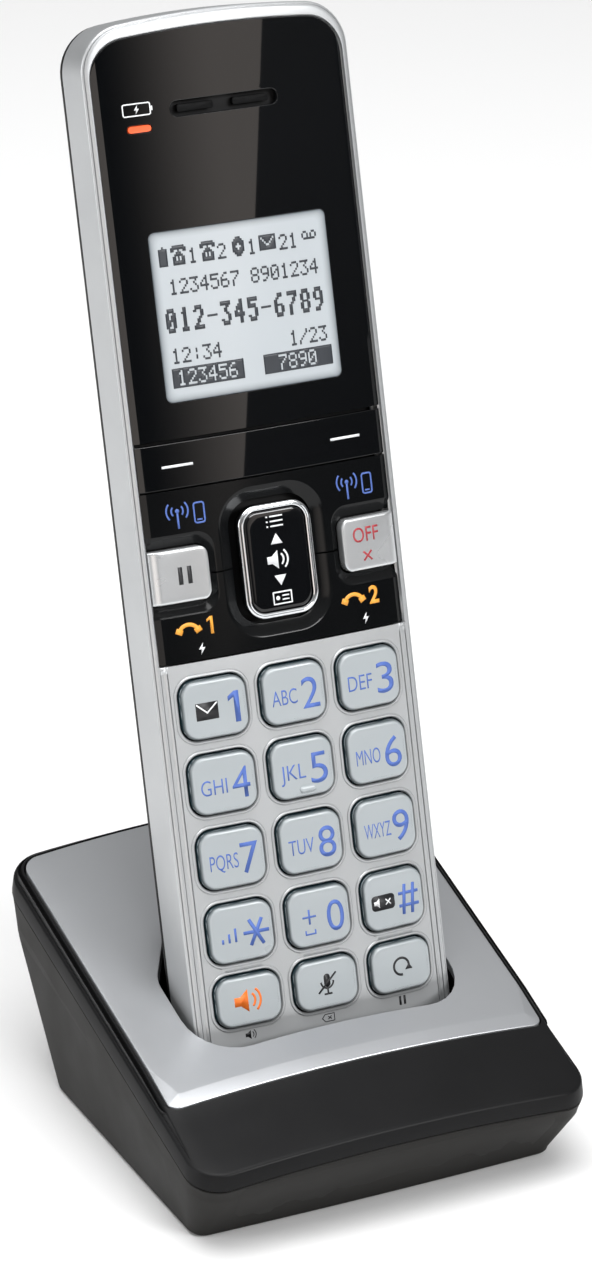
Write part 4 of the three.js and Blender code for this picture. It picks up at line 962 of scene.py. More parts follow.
@dataclass(frozen=True)
class DialKey:
    """One of the fifteen keys of the deck: a pale, dished top over smoky sides.

    Each step of the profile is how far the key's outline is drawn out, its depth from the crown, and the
    edge value of its colour.
    """

    row: int
    column: int
    corner: float = 2.7
    profile: tuple[tuple[float, float, float], ...] = (
        (0, 2.0, 0.0), (0, -0.3, 0.0), (-0.05, -0.6, 0.05), (-0.17, -0.88, 0.25), (-0.3, -1.05, 0.55),
        (-0.42, -1.14, 0.9), (-0.56, -1.185, 1.0), (-0.8, -1.2, 1.0))
    dish: float = 0.12
    nib: Steps = ((0.1, 0.05), (0.04, -0.16), (-0.05, -0.28), (-0.2, -0.34))

    @property
    def node(self) -> str:
        """The key's body, and its CAD node."""
        return KEY_NODES[self.row][self.column]

    @property
    def centre(self) -> tuple[float, float]:
        """Middle of the key on the face."""
        return ((self.column - 1) * FACE.key_pitch, FACE.key_z[self.row])

    @property
    def size(self) -> tuple[float, float]:
        """Width and height of the key."""
        return FACE.key_size(self.row)

    def outline(self, grow: float) -> np.ndarray:
        """Outline of the key drawn out by an amount."""
        return rounded_box(self.size, self.corner, self.centre, grow)

    def top(self, x: np.ndarray, z: np.ndarray) -> np.ndarray:
        """Depth of the key's top: the crown less the key's rise, and a dish of dish * (1 - reach^2) in it.

        Args:
            x: Places across the face.
            z: Places up the face.

        Returns:
            The depth at each place.
        """
        reach = np.hypot((x - self.centre[0]) / (self.size[0] / 2), (z - self.centre[1]) / (self.size[1] / 2))
        return FACE.crown_at(x) + self.profile[-1][1] + self.dish * np.clip(1 - reach ** 2, 0, 1)

    def build(self) -> None:
        """Makes the key from rings that follow its outline; the middle one has a nib for the finger."""
        rings = rings_of(self.outline, self.profile, FACE.crown_at)
        sheet = Sheet().rows(rings[:2], closed=True, tone=1)
        sheet.rows(rings[1:], closed=True, edge=[step[2] for step in self.profile[1:]])
        sheet.crowned_lid(self.outline(self.profile[-1][0]), self.top).lid(rings[0], 1)
        if self.node == "key_5":
            spot = (self.centre[0] + 0.5, self.centre[1] - 3.7)
            sheet.capped(rings_of(lambda grow: rounded_box((2.9, 0.9), 0.44, spot, grow), self.nib, self.top))
        piece = sheet.build(f"{self.node}_cap", [KEY_TOP, KEY_SIDE], None, 50)
        settle(piece, self.node, [self.node])

    def page(self) -> Print:
        """An empty print on the key's top, drawn from its middle."""
        return Print(self.top, self.centre)

    def mark(self, page: Print) -> None:
        """Makes a print the key's legend."""
        page.settle(f"{self.node}_legend", self.node, "keycap")


@dataclass(frozen=True)
class FrontShell:
    """The silver front moulding: rim, bevel, recess for the black face, and the key deck.

    Each pair of bevel, grooves, brink and ridge says how far a line is drawn in from the handset's outline,
    or out from the recess's or a key's, and how far behind the crown it lies.
    """

    side_depth_foot: float = 11.1
    side_depth_top: float = 10.0
    top_rise: float = 1.8
    top_corner: float = 7.0
    foot_rise: float = 0.5
    foot_corner: float = 6.0
    recess_half: float = 23.3
    recess_depth: float = 2.2
    bevel: Steps = (
        (0, 0.85), (0.03, 0.6), (0.12, 0.42), (0.26, 0.32), (0.38, 0.3), (0.4, 0.5), (0.5, 0.5), (0.52, 0.14),
        (0.7, 0.04), (1.05, 0.0))
    grooves: Steps = (
        (1.24, 0), (1.27, 0.4), (1.36, 0.4), (1.4, 0.12), (1.9, 0.1), (2.02, 0.02), (2.3, -0.08), (2.36, -0.04),
        (2.42, 0.3), (2.54, 0.3), (2.6, 0))
    brink: Steps = ((0.06, 0), (0.03, 0.4), (-0.06, 0.4), (-0.09, 0.1), (-0.12, 2.2), (-1, 2.2))
    ridge: Steps = (
        (0.95, 0), (0.92, 0.06), (0.86, 0.06), (0.82, -0.1), (0.72, -0.2), (0.5, -0.22), (0.38, -0.14),
        (0.27, 0.05), (0.25, 1.7))
    recess_gap: float = 0.3
    sill_half: float = 22.7
    groove_start: float = 4.0
    wall: float = 0.5
    fillet: int = 10
    foot_spans: tuple[int, int] = (6, 2)

    @property
    def first_line(self) -> int:
        """Number of the outline's point at the lowest key line."""
        return sum(self.foot_spans) + self.fillet

    @property
    def recess_line(self) -> int:
        """Number of the outline's point at the foot of the recess."""
        return self.first_line + 5 * CELL_CHORDS + 1

    def outline(self, inset: float) -> np.ndarray:
        """Handset outline drawn in by an amount, with the same points at every inset.

        The straight sides carry points at the key rows' lines. The top rises by top_rise * (1 - (x / half)^2)
        and the foot's corners by foot_rise * (x / half)^2.

        Args:
            inset: How far it is drawn in.

        Returns:
            A closed outline of n by 2.
        """
        half = FACE.half - inset
        levels = [*FACE.key_lines[::-1], FACE.recess_foot]
        top = FACE.length - self.top_rise - inset
        stops = [(0, inset, 0), (half, inset, self.foot_corner - inset), *[(half, z, 0) for z in levels],
                 (half, top, self.top_corner - inset), (0, top, 0)]
        path = walk(stops, self.fillet, [*self.foot_spans, *[CELL_CHORDS] * 5, 1, 12, 8])
        swell = (path[:, 0] / half) ** 2
        rise = np.where(path[:, 1] > FACE.length / 2, self.top_rise * (1 - swell),
                        self.foot_rise * swell * np.clip(1 - path[:, 1] / levels[0], 0, 1))
        return mirrored(shifted(path, rise))

    def recess(self, grow: float) -> np.ndarray:
        """Upper edge of the black face's recess, from its right foot over the top to its left foot.

        Args:
            grow: How far it is drawn out.

        Returns:
            An open line of n by 2.
        """
        half = self.recess_half + grow
        top = FACE.plate_top - FACE.plate_rise + self.recess_gap + grow
        path = walk([(half, FACE.recess_foot, 0), (half, top, FACE.plate_corner + grow), (0, top, 0)], 10, [12, 8])
        path = shifted(path, np.where(path[:, 1] > FACE.length / 2,
                                      FACE.plate_rise * (1 - (path[:, 0] / half) ** 2), 0))
        return np.concatenate([path, path[-2::-1] * [-1, 1]])

    def parting(self, x: np.ndarray, z: np.ndarray) -> np.ndarray:
        """Depth of the parting line: it falls evenly from the foot to the top."""
        return self.side_depth_foot + (self.side_depth_top - self.side_depth_foot) * z / FACE.length

    def _lands(self, sheet: Sheet, rim: np.ndarray) -> None:
        """Adds the upper land with the recess's wall, and the lower land with its two grooves, inside the rim.

        Args:
            sheet: The shell's sheet.
            rim: The ring that ends the rim.
        """
        count, start = len(rim), self.recess_line
        upper = np.arange(start, count - start + 1)
        lower = np.r_[count - start:count, 0:start + 1]
        sheet.rows(np.concatenate([rim[None, upper], rings_of(self.recess, self.brink, FACE.crown_at)]))
        land = lift(np.stack([self.outline(inset)[lower] for inset, _ in self.grooves]), FACE.crown_at)
        z = land[..., 2]
        land[..., 1] += (np.array(self.grooves)[:, 1:] * np.clip((z - self.groove_start) / 4, 0, 1)
                         * np.clip(FACE.recess_foot - z, 0, 1))
        sheet.rows(np.concatenate([rim[None, lower], land]))

    def _strips(self, sheet: Sheet) -> None:
        """Adds the patch below the keys, the strip above them and the wall of the recess's foot.

        Args:
            sheet: The shell's sheet.
        """
        across = np.linspace(-1.5, 1.5, 3 * CELL_CHORDS + 1) * FACE.key_pitch
        foot = self.outline(self.grooves[-1][0])[np.r_[-self.first_line:0, 0:self.first_line + 1]]
        sheet.rows(lift(between(foot, level_line(across, FACE.key_lines[-1]), np.linspace(0, 1, 7)), FACE.crown_at))
        brow = [level_line(across, z) for z in (FACE.key_lines[0], FACE.recess_foot)]
        sheet.rows(lift(np.stack(brow), FACE.crown_at))
        reach = np.r_[-self.recess_half, -self.sill_half, across, self.sill_half, self.recess_half]
        sill = level_line(reach, FACE.recess_foot)
        sheet.rows(np.stack([lift(sill, FACE.crown_at, drop) for drop in (0, self.recess_depth + 0.5)]))

    def _cell(self, sheet: Sheet, key: DialKey) -> None:
        """Adds the flat land round a key, its raised ridge and the hole's wall.

        Args:
            sheet: The shell's sheet.
            key: The key.
        """
        x, reach = key.centre[0], FACE.key_pitch / 2
        land = box_stations(x - reach, x + reach, FACE.key_lines[key.row + 1], FACE.key_lines[key.row], CELL_CHORDS)
        ridge = rings_of(key.outline, self.ridge, FACE.crown_at)
        sheet.rows(np.concatenate([lift(land, FACE.crown_at)[None], ridge]), closed=True)

    def build(self) -> None:
        """Joins the rim, the lands, the strips and the key cells to one sheet with a wall."""
        sheet = Sheet()
        rim = np.stack([lift(self.outline(0.1), self.parting), lift(self.outline(0), self.parting, -0.12),
                        *rings_of(self.outline, self.bevel, FACE.crown_at)])
        sheet.rows(rim, closed=True)
        self._lands(sheet, rim[-1])
        self._strips(sheet)
        for row, column in np.ndindex(5, 3):
            self._cell(sheet, DialKey(row, column))
        piece = sheet.build("front_shell_silver", [SILVER_PAINT], FRONT_NORMAL, 28)
        thicken(piece, self.wall)
        settle(piece, "handset", ["front_shell"])


@dataclass(frozen=True)
class RearLip:
    """The rear moulding's edge, which shows as a dark line behind the silver front.

    Each pair of its section says how far a line is drawn in, and how far behind the parting line it lies.
    """

    section: Steps = ((1.4, 0.12), (0.2, 0.12), (0.12, 0.3), (0.14, 1.2), (0.35, 1.7), (1.4, 1.9), (1.4, 0.12))

    def build(self) -> None:
        """Carries the section round the handset's outline, behind the parting line."""
        shell = FrontShell()
        lip = Sheet().rows(rings_of(shell.outline, self.section, shell.parting), closed=True)
        settle(lip.build("rear_lip_black", [BLACK_ABS], None, 30), "handset")


@dataclass(frozen=True)
class FaceTray:
    """A thin floor behind the black plates, where the recess has its real floor; it is black as painted shade,
    which keeps the gaps round the plates dark.
    """

    section: Steps = ((-0.3, 3.5), (-0.3, 3.4), (-0.35, 3.36))

    @staticmethod
    def ring(grow: float) -> np.ndarray:
        """Closed outline of the recess, drawn out by an amount.

        Args:
            grow: How far it is drawn out.

        Returns:
            A closed outline of n by 2.
        """
        path = FrontShell().recess(grow)
        path[[0, -1], 1] = FACE.recess_foot - grow
        across = np.linspace(path[-1, 0], path[0, 0], 16)[1:-1]
        return np.concatenate([path, level_line(across, FACE.recess_foot - grow)])

    def build(self) -> None:
        """Makes the floor, which follows the crown."""
        sheet = Sheet().rows(rings_of(self.ring, self.section, FACE.crown_at), closed=True)
        for grow, drop in (self.section[-1], self.section[0]):
            sheet.crowned_lid(self.ring(grow), FACE.crown_at, drop)
        # Its black is painted shade for the gaps round the plates
        settle(sheet.build("face_tray_black", [BLACK_ABS], None, 30), "handset")


@dataclass(frozen=True)
class Lens:
    """The window lens over the display, with the openings for the display, the ear and the charge light."""

    display: Hole = Hole((0.0, 133.8), (32.9, 28.8), 1.2, FACE.plate_at, 0.6, 0.06)
    ear: Hole = Hole((0.0, 168.1), (19.7, 2.6), 1.2, FACE.plate_at, 1.2, 0.14)
    light: Hole = Hole((-15.6, 165.5), (4.4, 1.4), 0.6, FACE.plate_at, 1.2, 0.05)
    window: Steps = ((-0.05, 1.2), (-0.05, 0.1), (-0.12, 0.03))
    wall: float = 1.3
    softening: tuple[float, float, int] = (0.16, 18, 3)
    felt: Steps = ((0, 1.7), (0, 0.85), (-0.12, 0.75))
    felt_size: tuple[float, float] = (6.6, 1.3)
    felt_corner: float = 0.4
    felt_at: float = 5.1

    def grid(self) -> np.ndarray:
        """Columns from the lens's foot to its rounded top.

        A column at x runs up to plate_top - rise * (x / half)^2, less what the corner's quarter circle
        takes off beyond the start of the corner.

        Returns:
            Rows by columns by 3.
        """
        half, corner = FACE.plate_half, FACE.plate_corner
        bend = np.sin(np.linspace(0, 1, 15) * math.pi / 2)
        right = np.unique(np.concatenate([np.linspace(0, half - corner, 22), half - corner + corner * bend,
                                          [FACE.crease]]))
        x = np.concatenate([-right[:0:-1], right])
        into = np.clip(np.abs(x) - (half - corner), 0, corner)
        top = (FACE.plate_top - FACE.plate_rise * (x / half) ** 2 - corner
               + np.sqrt(np.clip(corner ** 2 - into ** 2, 0, None)))
        share = np.linspace(0, 1, 85)[:, None]
        z = FACE.lens_foot + (top - FACE.lens_foot) * share
        return lift(np.stack([np.broadcast_to(x, z.shape), z], -1), FACE.plate_at)

    def build(self) -> None:
        """Makes the black lens, the clear window over the display, and the felt behind the ear slot."""
        lens = Sheet().pierced(self.grid(), [self.display, self.ear, self.light])
        piece = lens.build("display_lens_black", [PIANO_BLACK], FRONT_NORMAL, 12)
        thicken(piece, self.wall)
        soften(piece, *self.softening)
        settle(piece, "handset", ["display_lens"])
        rings = rings_of(self.display.outline, self.window, FACE.plate_at)
        grow, drop = self.window[-1]
        # The window's wall and the outer rings of its lid carry low edge values, which darken its border: a painted
        # shadow of the bezel
        window = Sheet().rows(rings, closed=True, edge=(0.0,))
        window.crowned_lid(self.display.outline(grow), FACE.plate_at, drop,
                           (0.985, 0.965, 0.94, 0.91, 0.7, 0.45, 0.2, 0.05), (0.1, 0.4, 0.65, 0.85, 1, 1, 1, 1, 1))
        window.lid(rings[0])
        settle(window.build("display_window", [LCD_GLASS], None, 40), "handset")
        felt = Sheet()
        width, height = self.felt_size
        for x in (-self.felt_at, self.felt_at):
            patch = [lift(rounded_box((width + 2 * grow, height + 2 * grow), self.felt_corner,
                                      (x, self.ear.centre[1])), drop) for grow, drop in self.felt]
            felt.capped(np.stack(patch))
        settle(felt.build("earpiece_windows", [EAR_CLOTH], None, 40), "handset")


# Signs of the display, a row of dots after another from the top
SIGNS = {
    "0": ".###. #...# #..## #.#.# ##..# #...# .###.",
    "1": "..#.. .##.. ..#.. ..#.. ..#.. ..#.. .###.",
    "2": ".###. #...# ....# ...#. ..#.. .#... #####",
    "3": "##### ...#. ..#.. ...#. ....# #...# .###.",
    "4": "...#. ..##. .#.#. #..#. ##### ...#. ...#.",
    "5": "##### #.... ####. ....# ....# #...# .###.",
    "6": "..##. .#... #.... ####. #...# #...# .###.",
    "7": "##### ....# ...#. ..#.. .#... .#... .#...",
    "8": ".###. #...# #...# .###. #...# #...# .###.",
    "9": ".###. #...# #...# .#### ....# ...#. .##..",
    "-": "..... ..... ..... ##### ..... ..... .....",
    ":": "..... ..#.. ..#.. ..... ..#.. ..#.. .....",
    "/": "....# ....# ...#. ..#.. .#... #.... #....",
    " ": "..... ..... ..... ..... ..... ..... .....",
    "battery": "..#.. ##### ##### ##### ##### ##### ##### ##### #####",
    "telephone": ".#######. ######### ##..#..## ...###... ..#####.. .##.#.##. .##.#.##. .#######. .#######.",
    "disc": "..###.. .#####. ####### ###.### ##...## ###.### ####### .#####. ..###..",
    "letter": "########## #.######.# ##.####.## ###.##.### ####..#### ########## ##########",
    "tape": ".##...##. #..#.#..# #..#.#..# .#######.",
}


@dataclass(frozen=True)
class Display:
    """The picture of the dot-matrix display: signs, numbers and two dark labels."""

    columns: int = 96
    lines: int = 64
    pitch: tuple[float, float] = (0.311, 0.372)
    corner: tuple[float, float] = (-14.93, 145.6)
    sink: float = 0.03
    icons: tuple[tuple[str, int, int], ...] = (
        ("battery", 0, 0), ("telephone", 0, 7), ("1", 2, 17), ("telephone", 0, 24), ("2", 2, 34), ("disc", 0, 43),
        ("1", 2, 52), ("letter", 1, 59), ("2", 2, 71), ("1", 2, 77), ("tape", 2, 85))

    @staticmethod
    def sign(name: str) -> np.ndarray:
        """Dots of one sign."""
        return np.array([list(row) for row in SIGNS[name].split()]) == "#"

    def words(self, text: str, bold: bool = False) -> np.ndarray:
        """Dots of a line of signs; bold ones are eleven dots high and have strokes two dots wide.

        Args:
            text: The signs.
            bold: Whether they are bold.

        Returns:
            Rows by columns of truth values.
        """
        parts = []
        for name in text:
            dots = self.sign(name)
            if bold:
                dots = np.pad(np.repeat(dots, [2, 1, 2, 1, 2, 1, 2], 0), ((0, 0), (0, 2)))
                dots = dots | np.roll(dots, 1, 1)
            parts.append(np.pad(dots, ((0, 0), (0, 1))))
        return np.concatenate(parts, 1)

    def picture(self) -> np.ndarray:
        """Dots of the whole display: a mark's dots turn over those that lie below them.

        Returns:
            Rows by columns of truth values.
        """
        marks = [(self.sign(name), line, column) for name, line, column in self.icons]
        marks += [(self.words("1234567 8901234"), 15, 4), (self.words("012-345-6789", True), 28, 0),
                  (self.words("12:34"), 46, 1), (self.words("1/23"), 46, 71)]
        for start, text in ((0, "123456"), (54, "7890")):
            marks += [(np.ones((9, 42), bool), 55, start), (self.words(text), 56, start + 21 - 3 * len(text))]
        lit = np.zeros((self.lines, self.columns), bool)
        for dots, line, column in marks:
            lit[line:line + dots.shape[0], column:column + dots.shape[1]] ^= dots
        return lit

    def build(self) -> None:
        """Lays the lit dots just under the lens's surface."""
        page = Print(lambda x, z: FACE.plate_at(x) + self.sink)
        page.dots(self.picture(), self.corner, self.pitch, Ink.LCD).settle("display_dots", "handset", "display")


@dataclass(frozen=True)
class KeyBars:
    """The three black key bars under the lens; two of them are scooped round the keys between them.

    A hole is given by its half width or its near side, half its height, and its corner. Each step of a
    scoop is a share of the scoop's width and of its depth.
    """

    nav_scoop: float = 2.3
    side_scoop: tuple[float, float] = (1.3, 2.1)
    scoop_depth: float = 0.95
    nav_hole: tuple[float, float, float] = (7.7, 10.7, 4.5)
    side_hole: tuple[float, float, float] = (12.25, 4.9, 1.9)
    parting: float = 10.45
    steps: Steps = ((0.0, 1.2), (0.02, 1.02), (0.3, 0.8), (0.65, 0.36), (0.88, 0.08), (1.0, 0.0))
    wall: float = 1.3
    softening: tuple[float, float] = (0.14, 15)

    def _collar(self, pocket: Sequence[np.ndarray], outer: np.ndarray, shares: Sequence[float]) -> np.ndarray:
        """Surface from a scooped pocket to the outer line of its part of the bar.

        Args:
            pocket: The scoop's line at each step.
            outer: The outer line, with as many points.
            shares: Shares of the way from the scoop to the outer line that have a ring.

        Returns:
            Rings of equal count.
        """
        scoop = [lift(line, FACE.plate_at, self.scoop_depth * fall)
                 for line, (_, fall) in zip(pocket, self.steps)]
        return np.concatenate([scoop, lift(between(pocket[-1], outer, shares), FACE.plate_at)])

    def _middle(self, split: float, far: float) -> np.ndarray:
        """Collar from the navigation key's hole, at the split between two bars, to the bar's middle part.

        Args:
            split: Height of the split.
            far: Height of the bar's other side.

        Returns:
            Rings of equal count.
        """
        sign = math.copysign(1, far - split)
        half, tall, radius = self.nav_hole
        pocket = []
        for grow in (self.nav_scoop * share for share, _ in self.steps):
            wide, top = half + grow, FACE.split_middle + sign * (tall + grow)
            pocket.append(walk([(-wide, split, 0), (-wide, top, radius + grow), (wide, top, radius + grow),
                                (wide, split, 0)], 12, [4, 6, 4]))
        outer = walk([(-self.parting, split, 0), (-self.parting, far, 0), (self.parting, far, 0),
                      (self.parting, split, 0)], 1, [10, 18, 10])
        return self._collar(pocket, outer, (0.5, 1.0))

    def _side(self, split: float, far: float, side: int) -> np.ndarray:
        """Collar from a side key's pocket, at the split between two bars, to the bar's end.

        Args:
            split: Height of the split.
            far: Height of the bar's other side.
            side: -1 for the left end, 1 for the right one.

        Returns:
            Rings of equal count.
        """
        sign = math.copysign(1, far - split)
        near, tall, radius = self.side_hole
        pocket = []
        for share, _ in self.steps:
            across, up = self.side_scoop[0] * share, self.side_scoop[1] * share
            start, top = near - across, FACE.split_middle + sign * (tall + up)
            pocket.append(walk([(start, split, 0), (start, top, radius + across), (FACE.crease, top, 0),
                                (FACE.plate_half, top, 0)], 8, [6, 8, 1]) * [side, 1])
        outer = walk([(self.parting, split, 0), (self.parting, far, 0), (FACE.crease, far, 0),
                      (FACE.plate_half, far, 0)], 1, [10, 12, 1]) * [side, 1]
        return self._collar(pocket, outer, (0.35, 0.7, 1.0))

    def _scooped(self, split: float, far: float) -> list[np.ndarray]:
        """The three parts of a bar that ends at the keys between two bars."""
        return [self._middle(split, far), self._side(split, far, -1), self._side(split, far, 1)]

    def _plain(self, foot: float, top: float) -> np.ndarray:
        """Grid of a bar without pockets, with columns at its creases.

        Args:
            foot: Height of the bar's foot.
            top: Height of its top.

        Returns:
            Rows by columns by 3.
        """
        right = np.array([0, 4, 8, 12, 15, 18, 20, FACE.crease, FACE.plate_half])
        x = np.concatenate([-right[:0:-1], right])
        z = np.linspace(foot, top, 5)[:, None]
        return lift(np.stack(np.broadcast_arrays(x[None], z), -1), FACE.plate_at)

    def build(self) -> None:
        """Makes the three bars, each with its wall and softened edges."""
        for node, gloss, parts in (("soft_key_bar", PIANO_BLACK, [self._plain(*FACE.soft)]),
                                   ("cell_key_bar", BAR_BLACK, self._scooped(*FACE.cell)),
                                   ("line_key_bar", BAR_BLACK, self._scooped(*FACE.line[::-1]))):
            sheet = Sheet()
            for part in parts:
                sheet.rows(part)
            piece = sheet.build(f"{node}_black", [gloss], FRONT_NORMAL, 12)
            thicken(piece, self.wall)
            soften(piece, *self.softening)
            settle(piece, node, [node])


@dataclass(frozen=True)
class FunctionKeys:
    """The navigation key with its ring, and the bright key on each side of it.

    Each pair of band and key says how far a line is drawn out from the navigation key's outline, and its
    depth. A side key falls at its lip by side_fall, and side_outer gives the place and the fall of its
    last columns.
    """

    nav_size: tuple[float, float] = (13.6, 19.6)
    nav_corner: float = 3.6
    side_near: float = 12.55
    side_height: float = 9.2
    side_corner: float = 1.6
    side_crease: float = 21.75
    side_rise: float = 0.7
    side_facet: float = 0.55
    side_lip: tuple[float, ...] = (0, 0.02, 0.08, 0.2, 0.38, 0.6)
    side_fall: tuple[float, ...] = (0.5, 0.3, 0.14, 0.05, 0.01, 0)
    side_outer: Steps = ((21.75, 0), (22.4, 0), (22.93, 0.03), (23.05, 0.16))
    side_wall: float = 1.4
    band: Steps = (
        (0, 0.5), (0, -0.7), (-0.06, -0.88), (-0.2, -0.98), (-0.42, -1.0), (-0.52, -0.9), (-0.58, -0.84),
        (-0.66, -0.86), (-0.76, -0.92), (-0.92, -0.84), (-0.98, -0.7), (-0.98, 0.5))
    key: Steps = ((0, 0.7), (-1.12, 0.7), (-1.12, -0.5), (-1.18, -0.66), (-1.34, -0.76), (-1.7, -0.8))

    def _nav(self, grow: float) -> np.ndarray:
        """Outline of the navigation key drawn out by an amount."""
        return rounded_box(self.nav_size, self.nav_corner, (0, FACE.split_middle), grow, 12)

    def build(self) -> None:
        """Makes the ring, the key inside it, and both side keys."""
        ring = Sheet().rows(rings_of(self._nav, (*self.band, self.band[0])), closed=True)
        settle(ring.build("nav_ring_bright", [CHROME], None, 40), "nav_rocker", ["nav_ring"])
        rings = rings_of(self._nav, self.key)
        sheet = Sheet().rows(rings, closed=True)
        sheet.crowned_lid(self._nav(self.key[-1][0]), self.key[-1][1]).lid(rings[0])
        settle(sheet.build("nav_key_black", [PIANO_BLACK], None, 40), "nav_rocker", ["nav_key"])
        for node, side in (("hold_key", -1), ("off_key", 1)):
            self._side(side, node)

    def side_depth(self, x: np.ndarray, z: np.ndarray | None = None) -> np.ndarray:
        """Depth of a side key's top: proud of the crown, with a facet that falls past the crease."""
        past = np.clip((np.abs(x) - self.side_crease) / (FACE.plate_half - self.side_crease), 0, 1)
        return FACE.crown_at(x) - self.side_rise + self.side_facet * past

    def _side(self, side: int, node: str) -> None:
        """Makes a side key: its inner corners are round, and the face's edge cuts it off.

        Its rows run from the inner edge to the outer one at each height, so the crease is one line of points.

        Args:
            side: -1 for the left key, 1 for the right one.
            node: The key's body, and its CAD node.
        """
        half = self.side_height / 2
        lip, fall = np.array(self.side_lip), np.array(self.side_fall)
        rise = np.concatenate([-half + lip, np.linspace(-half + 1.2, half - 1.2, 9), half - lip[::-1]])
        drop = np.concatenate([fall, np.zeros(9), fall[::-1]])
        over = np.clip(np.abs(rise) - (half - self.side_corner), 0, self.side_corner)
        start = self.side_near + self.side_corner - np.sqrt(self.side_corner ** 2 - over ** 2)
        inner = np.minimum(start[:, None] + np.concatenate([lip, np.linspace(1.2, 8.9, 10)]), self.side_crease)
        outer, outer_fall = np.array(self.side_outer).T
        x = np.concatenate([inner, np.broadcast_to(outer, (len(rise), 4))], 1)
        z = np.broadcast_to(rise[:, None], x.shape) + FACE.split_middle
        sink = np.concatenate([fall, np.zeros(10), outer_fall])
        top = np.stack([side * x, self.side_depth(x) + np.maximum(drop[:, None], sink), z], -1)
        edge = np.concatenate([top[0, :-1], top[:-1, -1], top[-1, :0:-1], top[:0:-1, 0]])
        foot = lift(edge[:, [0, 2]], FACE.crown_at, self.side_wall)
        sheet = Sheet().rows(top).rows(np.stack([edge, foot]), closed=True).lid(foot)
        settle(sheet.build(f"{node}_bright", [BRIGHT_LACQUER], None, 40), node, [node])


